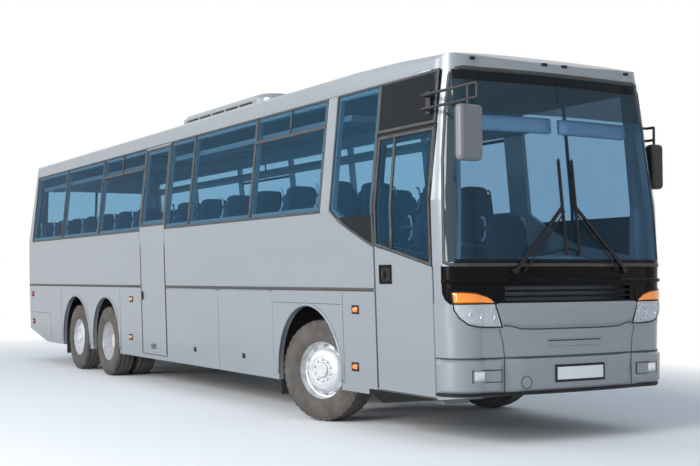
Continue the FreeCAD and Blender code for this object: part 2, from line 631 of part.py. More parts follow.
for name, rear, front, top, column_x, reach, outline in DOORS:
    gap = S.panel_gap
    pivot_x = column_x + reach * S.door_arm
    leaf = leaf_skin.common(cuboid(rear + gap, front - gap, -WIDE, -CHEST, S.door_sill_z + gap, top - gap))
    rebate = glass_rebate.common(prism(drawn_in(outline, -EDGE), RIGHT))
    ears = []
    bores = []
    foot_z = S.door_sill_z - 10 + SEAT_GAP
    arm_parts = [upright(S.column_radius, column_x, -S.column_y, foot_z, S.arm_high_z + COLUMN_TOP)]
    for arm_z in (S.arm_low_z, S.arm_high_z):
        for z0 in (arm_z + ARM_HALF + EAR_GAP, arm_z - ARM_HALF - EAR_GAP - EAR_THICK):
            ears.append(cuboid(pivot_x - EAR_HALF, pivot_x + EAR_HALF, -half_at(arm_z) + EAR_INSET,
                               -S.column_y + EAR_INSET, z0, z0 + EAR_THICK))
        reach_z = ARM_HALF + EAR_GAP + EAR_THICK
        bores.append(upright(PIN_RADIUS + S.spindle_fit, pivot_x, -S.column_y, arm_z - BORE_REACH,
                             arm_z + BORE_REACH))
        arm_parts.append(upright(PIN_RADIUS, pivot_x, -S.column_y, arm_z - reach_z, arm_z + reach_z))
        arm_parts.append(upright(ARM_HALF + 8, pivot_x, -S.column_y, arm_z - ARM_HALF, arm_z + ARM_HALF))
        x0, x1 = sorted((column_x, pivot_x))
        arm_parts.append(cuboid(x0, x1, -S.column_y - ARM_HALF, -S.column_y + ARM_HALF,
                                arm_z - ARM_HALF, arm_z + ARM_HALF))
    window = prism(drawn_in(outline, FRAME), RIGHT)
    shaped(name, joined([leaf.cut([rebate, window])] + ears).cut(bores))
    shaped(name + "_glass", glass_skin.common(prism(outline, RIGHT)))
    shaped(name + "_arms", joined(arm_parts))

# ---------------------------------------------------------------- floors and steps
MID_STAIR_Y, TREAD = 330, 28
deck = [
    block("deck_rear", "deck_rear_x", "mid_rear_x", "-deck_half", "deck_half", "deck_z - deck_plate",
          "deck_z"),
    block("deck_side", "mid_rear_x", "mid_front_x", -MID_STAIR_Y, "deck_half", "deck_z - deck_plate",
          "deck_z"),
    block("deck_front", "mid_front_x", "deck_front_x", "-deck_half", "deck_half", "deck_z - deck_plate",
          "deck_z"),
]
fused("deck", deck)

CAB_HALF, CAB_FRONT_X = 1050, 6300
cab = [
    block("cab_plate", "deck_front_x", CAB_FRONT_X, "-stair_y", CAB_HALF, "cab_z - deck_plate", "cab_z"),
    block("cab_side", "deck_front_x", "door_rear_x - 10", -CAB_HALF, "-stair_y", "cab_z - deck_plate",
          "cab_z"),
    block("cab_riser", "door_rear_x - 10", "door_front_x - 10", -560, -540, "cab_z - 260", "cab_z"),
    block("cab_step", "deck_front_x", "deck_front_x + 280", -300, 300, "cab_z", "(cab_z + deck_z) / 2"),
]
# Steps inside a doorway: outer y, inner y, share of the climb
# Treads of the front entry: outer y, inner y, share of the climb
FRONT_TREADS = [("column_y + 10", 860, 0), (860, 710, 1 / 3), (710, 560, 2 / 3)]
for number, (y0, y1, share) in enumerate(FRONT_TREADS):
    top = "door_sill_z - 10 + (cab_z - door_sill_z + 10) * %.6f" % share
    low = "sill_z" if share == 0 else "%s - 200" % top
    cab.append(block("cab_tread_%d" % number, "door_rear_x - 10", "door_front_x - 10", "-(%s)" % y0, -y1,
                     low, top))
fused("cab_floor", cab)

steps = []
# Treads of the middle entry: outer y, inner y, share of the climb
MID_TREADS = [("column_y + 10", 900, 0), (900, 758, 0.2), (758, 616, 0.4), (616, 474, 0.6), (474, 330, 0.8)]
for number, (y0, y1, share) in enumerate(MID_TREADS):
    top = "door_sill_z - 10 + (deck_z - door_sill_z + 10) * %.6f" % share
    low = "sill_z" if share == 0 else "%s - 210" % top
    steps.append(block("mid_tread_%d" % number, "mid_rear_x", "mid_front_x", "-(%s)" % y0, -y1, low, top))
fused("mid_steps", steps)

# ---------------------------------------------------------------- underframe and wheel housings
BAY_HALF, PLATE = 1138, 40
RAIL_FRONT_X, RAIL_REAR_X, MEMBER = 6300, -6640, 60
under = [
    block("bay_floor_rear", "bay_tail_x - 50", "mid_rear_x", -BAY_HALF, BAY_HALF, "sill_z + 8",
          "bay_floor_z"),
    block("bay_floor_side", "mid_rear_x", "mid_front_x", -MID_STAIR_Y, BAY_HALF, "sill_z + 8", "bay_floor_z"),
    block("bay_floor_front", "mid_front_x", "bay_front_x + 50", -BAY_HALF, BAY_HALF, "sill_z + 8",
          "bay_floor_z"),
    block("stair_wall_rear", "mid_rear_x - 20", "mid_rear_x", -BAY_HALF, -MID_STAIR_Y, "bay_floor_z",
          "deck_z - deck_plate"),
    block("stair_wall_front", "mid_front_x", "mid_front_x + 20", -BAY_HALF, -MID_STAIR_Y, "bay_floor_z",
          "deck_z - deck_plate"),
]
# Bulkheads across the body: name, x of the rear face, thickness
BULKHEADS = [
    ("nose", "deck_front_x - 30", 30),
    ("bay_front", "bay_front_x + 10", PLATE),
    ("bay_tail", "bay_tail_x - 50", PLATE),
    ("tail", "tag_axle_x - tag_arch_behind - 60", PLATE),
]
for name, x, thick in BULKHEADS:
    under.append(block("bulkhead_" + name, x, "%s + %s" % (x, thick), -BAY_HALF, BAY_HALF, "bay_floor_z",
                       "deck_z - deck_plate"))
for side in (RIGHT, LEFT):
    outer = "rail_y + rail_width"
    under.append(side_block("rail_front_%d" % side, side, "bay_front_x + 50", RAIL_FRONT_X, "rail_y", outer,
                            "rail_low_z", "rail_high_z - 20"))
    under.append(side_block("rail_rear_%d" % side, side, RAIL_REAR_X, "bay_tail_x", "rail_y", outer,
                            "rail_low_z", "rail_high_z"))
# Cross members between the rails, by their rear face
CROSS_MEMBERS = (6180, 5000, -3300, -4750, -6600)
for number, x in enumerate(CROSS_MEMBERS):
    under.append(block("cross_%d" % number, x, x + MEMBER, "-rail_y", "rail_y", "rail_low_z + 20",
                       "rail_high_z - 30"))
under.append(block("tail_post", RAIL_REAR_X, RAIL_REAR_X + PLATE, -BAY_HALF + MEMBER, BAY_HALF - MEMBER,
                   "rail_high_z", "deck_z - deck_plate"))
fused("underframe", under)

housings = []
# Housings: name, rear x, front x
HOUSINGS = [
    ("front", "bay_front_x + 50", "deck_front_x - 30"),
    ("rear", "tag_axle_x - tag_arch_behind - 20", "bay_tail_x - 50"),
]
for name, x0, x1 in HOUSINGS:
    for side in (RIGHT, LEFT):
        tag = "%s_%s" % (name, "right" if side < 0 else "left")
        top = side_block("roof_" + tag, side, x0, x1, "housing_inner_y + 6", 1150, "arch_top_z + 25",
                         "arch_top_z + 25 + sheet")
        inner = side_block("inner_" + tag, side, x0, x1, "housing_inner_y", "housing_inner_y + sheet",
                           "rail_high_z + 2", "arch_top_z + 25 + sheet")
        housing = doc.addObject("Part::MultiFuse", "housing_" + tag)
        housing.Shapes = [top, inner]
        housings.append(housing)
gathered("wheel_housings", housings)

# ---------------------------------------------------------------- axles and knuckles
BORE = "(spindle_radius + spindle_fit)"
KINGPIN, EYE, EYE_LOW, EYE_HIGH, LUG = 30, 55, 462, 562, 55
BELLOWS = 85
rail_middle = "(rail_y + rail_width / 2)"

front_axle = [block("front_beam", "front_axle_x - 45", "front_axle_x + 45", "-kingpin_y", "kingpin_y",
                    EYE_LOW, EYE_HIGH)]
for side in (RIGHT, LEFT):
    y = "%d * kingpin_y" % side
    front_axle.append(rod("front_eye_%d" % side, EYE, EYE_HIGH - EYE_LOW, "front_axle_x", y, EYE_LOW))
    y = "%d * %s" % (side, rail_middle)
    front_axle.append(rod("front_bellows_%d" % side, BELLOWS, "rail_low_z - %d" % EYE_HIGH, "front_axle_x", y,
                          EYE_HIGH))
    front_axle.append(side_block("front_link_%d" % side, side, "bay_front_x + 50", "front_axle_x",
                                 rail_middle + " - 20", rail_middle + " + 20", 490, 530))
beam = doc.addObject("Part::MultiFuse", "front_axle_solid")
beam.Shapes = front_axle
bores = doc.addObject("Part::MultiFuse", "kingpin_bores")
bores.Shapes = [rod("bore_%d" % side, "%d + spindle_fit" % KINGPIN, 200, "front_axle_x",
                    "%d * kingpin_y" % side, EYE_LOW - 50) for side in (RIGHT, LEFT)]
front = doc.addObject("Part::Cut", "front_axle_cut")
front.Base, front.Tool = beam, bores
node(front, "front_axle")

wheel_offset = "(wheel_face - tyre_width / 2 - kingpin_y)"
SINGLE_CAP, TWIN_CAP = 122, -33
for side, label in ((RIGHT, "knuckle_right"), (LEFT, "knuckle_left")):
    tag = "%s_" % label
    parts = [
        rod(tag + "pin", KINGPIN, EYE_HIGH - EYE_LOW + 2 * LUG, 0, 0, EYE_LOW - LUG),
        side_block(tag + "low", side, -40, 40, -34, 75, EYE_LOW - LUG, EYE_LOW - 3),
        side_block(tag + "high", side, -40, 40, -34, 75, EYE_HIGH + 3, EYE_HIGH + LUG),
        side_block(tag + "flange", side, -60, 60, 62, 84, EYE_LOW - LUG, EYE_HIGH + LUG),
        side_rod(tag + "spindle", side, "spindle_radius", 80, "%s + %d" % (wheel_offset, SINGLE_CAP - 3), 0,
                 "tyre_radius"),
    ]
    knuckle = fused(label, parts)
    knuckle.Placement = Placement(Vector(), Rotation(Vector(0, 0, 1), S.steer_rest))
    bind(knuckle, "Placement.Rotation.Angle", "steer_rest")
    place(knuckle, "front_axle_x", "%d * kingpin_y" % side, 0)

# Trailing links of the rigid axles: length, bottom and top
LINK_LONG, LINK_LOW_Z, LINK_HIGH_Z = 480, 492, 532
# Rigid axles: name, x, radius of the tube, radius of the middle, end of the spindle from the wheel's middle
RIGID = [
    ("drive_axle", "drive_axle_x", 75, 210, TWIN_CAP - 4),
    ("tag_axle", "tag_axle_x", 55, 90, SINGLE_CAP - 3),
]
for label, x, tube, middle, spindle_end in RIGID:
    parts = [
        rod(label + "_tube", tube, 1120, x, -560, "tyre_radius", "Y"),
        rod(label + "_middle", middle, 300, x, -150, "tyre_radius", "Y"),
    ]
    for side in (RIGHT, LEFT):
        parts.append(side_rod("%s_spindle_%d" % (label, side), side, "spindle_radius", 500,
                              "wheel_face - tyre_width / 2 + %d" % spindle_end, x, "tyre_radius"))
        y = "%d * %s" % (side, rail_middle)
        parts.append(rod("%s_bellows_%d" % (label, side), BELLOWS, "rail_low_z - tyre_radius", x, y,
                         "tyre_radius"))
        inner, outer = rail_middle + " - 20", rail_middle + " + 20"
        reach = "%s + %d" % (x, LINK_LONG)
        parts.append(side_block("%s_link_%d" % (label, side), side, x, reach, inner, outer, LINK_LOW_Z,
                                LINK_HIGH_Z))
        parts.append(side_block("%s_hanger_%d" % (label, side), side, reach + " - 40", reach, inner, outer,
                                LINK_LOW_Z, "rail_low_z"))
    fused(label, parts)

# ---------------------------------------------------------------- wheels
def revolved(label, corners):
    """A body turned about Y from a closed profile whose corners are radius and place along the axle."""
    body = doc.addObject("PartDesign::Body", "body_" + label)
    sketch = body.newObject("Sketcher::SketchObject", "profile_" + label)
    plane = [feature for feature in body.Origin.OriginFeatures if feature.Role == "XY_Plane"][0]
    sketch.AttachmentSupport = (plane, [""])
    sketch.MapMode = "FlatFace"
    count = len(corners)
    starts = [Vector(100 + 10 * index, 7 * index + 5, 0) for index in range(count)]
    for index in range(count):
        sketch.addGeometry(Part.LineSegment(starts[index], starts[(index + 1) % count]))
    for index in range(count):
        sketch.addConstraint(Sketcher.Constraint("Coincident", index, 2, (index + 1) % count, 1))
    for index, (radius, along) in enumerate(corners):
        if radius == 0:
            sketch.addConstraint(Sketcher.Constraint("PointOnObject", index, 1, -2))
        else:
            number = sketch.addConstraint(Sketcher.Constraint("DistanceX", -1, 1, index, 1, starts[index].x))
            bind(sketch, "Constraints[%d]" % number, radius)
        number = sketch.addConstraint(Sketcher.Constraint("DistanceY", -1, 1, index, 1, starts[index].y))
        bind(sketch, "Constraints[%d]" % number, along)
    turn = body.newObject("PartDesign::Revolution", "turn_" + label)
    turn.Profile = sketch
    turn.ReferenceAxis = (sketch, ["V_Axis"])
    turn.Angle = 360
    body.Tip = turn
    return body


SEAT = "(rim_radius - 12)"
WELL = "(rim_radius - 24)"
HALF = "(tyre_width / 2)"


def tyre_profile(offset):
    """Half of the tyre's section mirrored about its middle plane, moved along the axle."""
    half = [(SEAT, "%s - 42" % HALF), ("rim_radius", "%s - 42" % HALF), ("rim_radius + 10", "%s - 26" % HALF),
            ("rim_radius + 60", "%s - 6" % HALF),
            ("rim_radius + 105", HALF), ("rim_radius + 150", "%s - 3" % HALF),
            ("tyre_radius - 24", "%s - 12" % HALF),
            ("tyre_radius - 6", "%s - 26" % HALF), ("tyre_radius", "%s - 46" % HALF)]
    outer = [(radius, "%s + (%s)" % (offset, along)) for radius, along in half]
    inner = [(radius, "%s - (%s)" % (offset, along)) for radius, along in reversed(half)]
    return outer + inner


FLANGE = "(%s - 30)" % HALF
SINGLE_RIM = [
    (BORE, -20), (95, -20), (95, 62), (200, 52), (WELL, 4), (WELL, "-" + FLANGE),
    ("rim_radius", "-" + FLANGE),
    ("rim_radius", "12 - " + FLANGE), (SEAT, "12 - " + FLANGE), (SEAT, FLANGE + " - 12"),
    ("rim_radius", FLANGE + " - 12"), ("rim_radius", FLANGE), (WELL, FLANGE), (WELL, 26), (205, 72), (95, 84),
    (95, SINGLE_CAP), (60, SINGLE_CAP + 14), (0, SINGLE_CAP + 14), (0, SINGLE_CAP), (BORE, SINGLE_CAP),
]
BEHIND = "(twin_pitch / 2)"
TWIN_RIM = [
    (BORE, "-%s - 50" % BEHIND), (130, "-%s - 50" % BEHIND), (130, "-%s - 8" % BEHIND),
    (WELL, "-%s - 8" % BEHIND),
    (WELL, "-twin_pitch - " + FLANGE), ("rim_radius", "-twin_pitch - " + FLANGE),
    ("rim_radius", "12 - twin_pitch - " + FLANGE), (SEAT, "12 - twin_pitch - " + FLANGE),
    (SEAT, FLANGE + " - 12"), ("rim_radius", FLANGE + " - 12"), ("rim_radius", FLANGE), (WELL, FLANGE),
    (WELL, "-%s + 8" % BEHIND), (130, "-%s + 8" % BEHIND), (130, TWIN_CAP - 20), (100, TWIN_CAP + 14),
    (0, TWIN_CAP + 14), (0, TWIN_CAP), (BORE, TWIN_CAP),
]
# Wheels: name, side, axle x, kind
WHEELS = [
    ("front_right", RIGHT, "front_axle_x", "steered"), ("front_left", LEFT, "front_axle_x", "steered"),
    ("drive_right", RIGHT, "drive_axle_x", "twin"), ("drive_left", LEFT, "drive_axle_x", "twin"),
    ("tag_right", RIGHT, "tag_axle_x", "single"), ("tag_left", LEFT, "tag_axle_x", "single"),
]
for name, side, axle_x, kind in WHEELS:
    rim = node(revolved("rim_" + name, TWIN_RIM if kind == "twin" else SINGLE_RIM), "rim_" + name)
    tyre = revolved("tyre_" + name, tyre_profile("0"))
    if kind == "twin":
        second = revolved("tyre_inner_" + name, tyre_profile("-twin_pitch"))
        tyre = gathered("tyre_" + name, [tyre, second])
    else:
        node(tyre, "tyre_" + name)
    half_turn = 0 if side > 0 else 180
    for wheel in (rim, tyre):
        if kind == "steered":
            wheel.Placement = Placement(Vector(), Rotation(Vector(0, 0, 1), half_turn + S.steer_rest))
            bind(wheel, "Placement.Rotation.Angle", "steer_rest + %d" % half_turn)
            place(wheel, "%s - %d * sin(steer_rest) * %s" % (axle_x, side, wheel_offset),
                  "%d * (kingpin_y + cos(steer_rest) * %s)" % (side, wheel_offset), "tyre_radius")
        else:
            wheel.Placement = Placement(Vector(), Rotation(Vector(0, 0, 1), half_turn))
            place(wheel, axle_x, "%d * (wheel_face - %s)" % (side, HALF), "tyre_radius")

# ---------------------------------------------------------------- engine and mud flaps
ENGINE_REAR_X, ENGINE_FRONT_X, ENGINE_LOW_Z, ENGINE_HIGH_Z = -6350, -5000, 620, 1240
engine = block("engine", ENGINE_REAR_X, ENGINE_FRONT_X, "-rail_y", "rail_y", ENGINE_LOW_Z, ENGINE_HIGH_Z)
node(engine, "engine_block")
FLAP_OUTER_Y, FLAP_THICK, FLAP_TOP_Z = 1135, 8, 760
FLAP_FRONT_LOW_Z, FLAP_TAIL_LOW_Z = 190, 210
flaps = []
for side in (RIGHT, LEFT):
    for where, start, low in (("front", "bay_front_x + 50", FLAP_FRONT_LOW_Z),
                              ("tail", "tag_axle_x - tag_arch_behind - 20", FLAP_TAIL_LOW_Z)):
        flaps.append(side_block("mud_%s_%d" % (where, side), side, start, "%s + %d" % (start, FLAP_THICK),
                                "wheel_face - tyre_width", FLAP_OUTER_Y, low, FLAP_TOP_Z))
gathered("mud_flaps", flaps)

# ---------------------------------------------------------------- seats and racks
# One seat seen from the side: half length of its foot, reach of its back and front, and the
# places where the back's faces meet the cushion; then its cushion's height and thickness
SEAT_FOOT_X, SEAT_BACK_X, SEAT_FRONT_X = 100, 400, 250
SEAT_HEAD_X, SEAT_LAP_X, SEAT_HEEL_X = 320, 170, 290
CUSHION_RISE, CUSHION_THICK = 430, 130


def seat(x, floor_z, top_z, y0, y1):
    """One seat: pedestal, cushion and leaning back as a side view's outline run across."""
    cushion_z = floor_z + CUSHION_RISE
    under_z = cushion_z - CUSHION_THICK
    points = [(x - SEAT_FOOT_X, floor_z), (x + SEAT_FOOT_X, floor_z), (x + SEAT_FOOT_X, under_z),
              (x + SEAT_FRONT_X, under_z + 10), (x + SEAT_FRONT_X, cushion_z), (x - SEAT_LAP_X, cushion_z),
              (x - SEAT_HEAD_X, top_z), (x - SEAT_BACK_X, top_z), (x - SEAT_HEEL_X, under_z),
              (x - SEAT_FOOT_X, under_z)]
    corners = [Vector(a, y0, z) for a, z in points]
    return Part.Face(Part.makePolygon(corners + corners[:1])).extrude(Vector(0, y1 - y0, 0))


STAIR_MARGIN, ROW_ROOM = 60, 140
seats = []
row_x = S.deck_front_x - SEAT_FRONT_X - ROW_ROOM
while row_x - SEAT_BACK_X > S.deck_rear_x:
    before_stairs = row_x - SEAT_FOOT_X >= S.mid_front_x + STAIR_MARGIN
    behind_stairs = row_x + SEAT_FOOT_X <= S.mid_rear_x - STAIR_MARGIN
    for side in (RIGHT, LEFT):
        if side == LEFT or before_stairs or behind_stairs:
            y0, y1 = sorted((side * S.aisle_half, side * (S.aisle_half + S.seat_width)))
            seats.append(seat(row_x, S.deck_z, S.seat_back_z, y0, y1))
    row_x -= S.seat_pitch
CAB_SEAT_RISE = 1150
# The driver's seat and the guide's: x, right side, left side
for x, y0, y1 in ((5150, 360, 880), (5060, -480, -20)):
    seats.append(seat(x, S.cab_z, S.cab_z + CAB_SEAT_RISE, y0, y1))
shaped("seats", Part.makeCompound(seats))

RACK_LOW_Z, RACK_HIGH_Z, RACK_INNER_Y, RACK_REAR_X, RACK_GAP = 2985, 3045, 800, -6300, 40
racks = both_sides(RACK_REAR_X, S.deck_front_x, RACK_INNER_Y, WIDE, RACK_LOW_Z, RACK_HIGH_Z)
right_rack = racks.pop()
racks.append(right_rack.cut(cuboid(S.mid_rear_x - RACK_GAP, S.mid_front_x + RACK_GAP, -WIDE, 0, 0, HIGH)))
shaped("luggage_racks", Part.makeCompound([rack.common(inner_form) for rack in racks]))

# ---------------------------------------------------------------- dashboard and steering wheel
WHEEL_X, WHEEL_Y, WHEEL_Z, WHEEL_TILT = 5620.0, 620.0, 1600.0, 30.0
GRIP_RADIUS, GRIP_THICK, SHAFT, SHAFT_END = 225, 16, 20, 420
wheel_turn = Placement(Vector(WHEEL_X, WHEEL_Y, WHEEL_Z), Rotation(Vector(0, 1, 0), -WHEEL_TILT))
# Boxes of the dashboard: rear x, front x, right side, left side, bottom, top
DASH_TOP = (6060, FAR, -1100, 1050, 1420, 1530)
CONSOLE = (5760, 6080, 230, 1010, 1180, 1500)
PEDESTAL = (6070, 6290, -540, 1000, S.cab_z, 1440)
dash_top = envelope(S.wall + SEAT_GAP).common(cuboid(*DASH_TOP))
shaft_bore = Part.makeCylinder(SHAFT + S.spindle_fit, SHAFT_END + 10, Vector(0, 0, -SHAFT_END - 5))
shaft_bore.Placement = wheel_turn
dashboard = joined([dash_top, cuboid(*CONSOLE), cuboid(*PEDESTAL)]).cut(shaft_bore)
shaped("dashboard", dashboard)

grip = doc.addObject("Part::Torus", "grip")
grip.Radius1, grip.Radius2 = GRIP_RADIUS, GRIP_THICK
SPOKE_HALF, SPOKE_LOW, SPOKE_HIGH, HUB_RADIUS, HUB_DEEP, HUB_LOW = 14, -12, 6, 60, 50, -35
spokes = [
    block("spoke_across", -SPOKE_HALF, SPOKE_HALF, -GRIP_RADIUS, GRIP_RADIUS, SPOKE_LOW, SPOKE_HIGH),
    block("spoke_down", -GRIP_RADIUS, 0, -SPOKE_HALF, SPOKE_HALF, SPOKE_LOW, SPOKE_HIGH),
    rod("wheel_hub", HUB_RADIUS, HUB_DEEP, 0, 0, HUB_LOW),
    rod("wheel_shaft", SHAFT, SHAFT_END - 30, 0, 0, -SHAFT_END),
]
fused("steering_wheel", [grip] + spokes).Placement = wheel_turn

# ---------------------------------------------------------------- air conditioning pod
POD_CORNER, POD_EDGE, POD_SUNK = 260, 55, 150
pod = cuboid(S.pod_rear_x, S.pod_front_x, -S.pod_half, S.pod_half, S.crown_z - POD_SUNK, S.pod_top_z)
upright_edges = [edge for edge in pod.Edges if abs(edge.tangentAt(edge.FirstParameter).z) > 0.9]
pod = pod.makeFillet(POD_CORNER, upright_edges)
top_edges = [edge for edge in pod.Edges if edge.BoundBox.ZMin > S.pod_top_z - 1]
pod = pod.makeChamfer(POD_EDGE, top_edges)
shaped("air_conditioner", pod.cut(body_form))

# ---------------------------------------------------------------- mirrors
TUBE, HEAD_HALF_X, HEAD_ROUND = 13, 60, 40
# Heights of a bracket's two tubes over its head; half size of the bracket and its reach past them
LOW_TUBE, HIGH_TUBE, BRACKET_HALF_X, BRACKET_REACH = 45, 165, 35, 40
# Side, x of the bracket, tip of its tubes, x and y of the head, its half width, bottom and top
MIRRORS = [
    (RIGHT, 6110, 6917, S.mirror_x, S.mirror_y, 120, S.mirror_low_z, S.mirror_high_z),
    (LEFT, 6195, 6290, 6290, 1295, 75, 2280, 2710),
]
mirrors = []
for side, bracket_x, tip_x, head_x, head_y, half_y, low, high in MIRRORS:
    y = side * head_y
    head = cuboid(head_x - HEAD_HALF_X, head_x + HEAD_HALF_X, y - half_y, y + half_y, low, high)
    head = head.makeFillet(HEAD_ROUND, head.Edges)
    parts = [head]
    root_y = side * (S.half_eaves - 20)
    for tube_z in (high + LOW_TUBE, high + HIGH_TUBE):
        y0, y1 = sorted((root_y, y))
        parts.append(Part.makeCylinder(TUBE, y1 - y0, Vector(bracket_x, y0, tube_z), Vector(0, 1, 0)))
        parts.append(Part.makeSphere(TUBE, Vector(bracket_x, y, tube_z)))
        arm = Part.makeCylinder(TUBE, tip_x - bracket_x, Vector(bracket_x, y, tube_z), Vector(1, 0, 0))
        parts.append(arm)
    parts.append(upright(TUBE, head_x, y, high - 60, high + HIGH_TUBE))
    if tip_x > head_x:
        parts.append(upright(TUBE, tip_x, y, high + LOW_TUBE, high + HIGH_TUBE))
    y0, y1 = sorted((root_y, side * (S.half_waist - 60)))
    parts.append(cuboid(bracket_x - BRACKET_HALF_X, bracket_x + BRACKET_HALF_X, y0, y1,
                        high + LOW_TUBE - BRACKET_REACH, high + HIGH_TUBE + BRACKET_REACH))
    mirrors.append(joined(parts).cut(body_form))
shaped("mirrors", Part.makeCompound(mirrors))

# ---------------------------------------------------------------- wipers
STAND_OFF, BLADE = 14, 22
POST_RADIUS, ARM_WIDE, BLADE_WIDE = 24, 26, 20
PIVOT_UNDER, ARM_TOP_Z, BLADE_LOW_Z, BLADE_HIGH_Z = 40, 2060, 1640, 2480
blade_skin = envelope(-STAND_OFF - BLADE).cut(envelope(-STAND_OFF))
post_skin = envelope(-STAND_OFF - BLADE).cut(body_form)


def front_strip(y0, z0, y1, z1, width):
    """A straight strip of the front view between two points, run along X through the nose."""
    length = math.hypot(y1 - y0, z1 - z0)
    across_y, across_z = (z1 - z0) / length * width / 2, -(y1 - y0) / length * width / 2
    corners = [(y0 + across_y, z0 + across_z), (y1 + across_y, z1 + across_z),
               (y1 - across_y, z1 - across_z), (y0 - across_y, z0 - across_z)]
    points = [Vector(NOSE_CUT_X, y, z) for y, z in corners]
    return Part.Face(Part.makePolygon(points + points[:1])).extrude(Vector(600, 0, 0))


# Wipers: y of the pivot, y of the blade
wipers = []
for pivot_y, blade_y in ((-620, -75), (620, 75)):
    pivot_z = S.cowl_z - PIVOT_UNDER
    foot = Vector(NOSE_CUT_X, pivot_y, pivot_z)
    post = Part.makeCylinder(POST_RADIUS, 600, foot, Vector(1, 0, 0)).common(post_skin)
    arm = front_strip(pivot_y, pivot_z, blade_y, ARM_TOP_Z, ARM_WIDE).common(blade_skin)
    blade = front_strip(blade_y, BLADE_LOW_Z, blade_y, BLADE_HIGH_Z, BLADE_WIDE).common(blade_skin)
    wipers.append(joined([post, arm, blade]))
shaped("wipers", Part.makeCompound(wipers))

# ---------------------------------------------------------------- check and write
doc.recompute()
for thing in doc.Objects:
    if "Invalid" in thing.State or "Error" in thing.State:
        raise RuntimeError("failed: " + thing.Name)
for piece in NODES:
    if piece.Shape.isNull() or not piece.Shape.isValid():
        raise RuntimeError("no valid shape: " + piece.Label)
os.makedirs("parts", exist_ok=True)
for piece in NODES:
    piece.Shape.exportStep(os.path.join("parts", piece.Label + ".step"))
    print("%-20s %2d solids %9.4f m3" % (piece.Label, len(piece.Shape.Solids), piece.Shape.Volume / 1e9))
print(len(NODES), "nodes")
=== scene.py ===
"""Three-axle touring coach, dressed piece by piece around its frame. Metres, +X forward, +Z up."""
import json
import math

import bmesh
import bpy
import numpy as np
from mathutils import Matrix, Vector
from mathutils.bvhtree import BVHTree


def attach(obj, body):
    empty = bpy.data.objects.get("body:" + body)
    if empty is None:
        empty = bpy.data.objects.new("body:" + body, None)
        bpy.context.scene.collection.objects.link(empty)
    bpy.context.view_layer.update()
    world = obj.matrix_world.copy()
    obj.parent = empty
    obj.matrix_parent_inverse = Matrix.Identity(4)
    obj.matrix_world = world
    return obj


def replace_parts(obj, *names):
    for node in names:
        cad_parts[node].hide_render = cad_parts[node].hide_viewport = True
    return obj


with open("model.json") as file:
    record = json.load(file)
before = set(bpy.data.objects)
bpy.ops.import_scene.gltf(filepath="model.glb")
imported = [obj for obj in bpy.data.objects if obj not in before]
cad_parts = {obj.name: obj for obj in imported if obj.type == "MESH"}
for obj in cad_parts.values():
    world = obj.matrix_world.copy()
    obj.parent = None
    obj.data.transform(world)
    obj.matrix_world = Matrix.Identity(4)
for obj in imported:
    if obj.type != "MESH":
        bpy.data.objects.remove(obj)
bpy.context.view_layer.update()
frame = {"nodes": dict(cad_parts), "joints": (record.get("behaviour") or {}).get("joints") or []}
nodes = frame["nodes"]

# ------------------------------------------------------------------ underframe and axles
# Welded steel rails, bulkheads, axle beams and links, brushed with black chassis wax and dusted by
# the road. They stay as the frame holds them.


def math_node(operation, swapped=False):
    """A method that feeds its wire and another value to one Math node, in turned order if swapped."""
    def method(wire, other):
        pair = (other, wire) if swapped else (wire, other)
        return wire.finish.node("ShaderNodeMath", {"operation": operation}, dict(enumerate(pair)))

    return method


class Wire:
    """A shader socket with the arithmetic operators, each of which adds a Math node."""

    def __init__(self, finish, socket):
        self.finish, self.socket = finish, socket

    __add__ = __radd__ = math_node("ADD")
    __mul__ = __rmul__ = math_node("MULTIPLY")
    __sub__, __rsub__ = math_node("SUBTRACT"), math_node("SUBTRACT", swapped=True)
    __truediv__, most = math_node("DIVIDE"), math_node("MAXIMUM")
    __gt__, __lt__ = math_node("GREATER_THAN"), math_node("LESS_THAN")


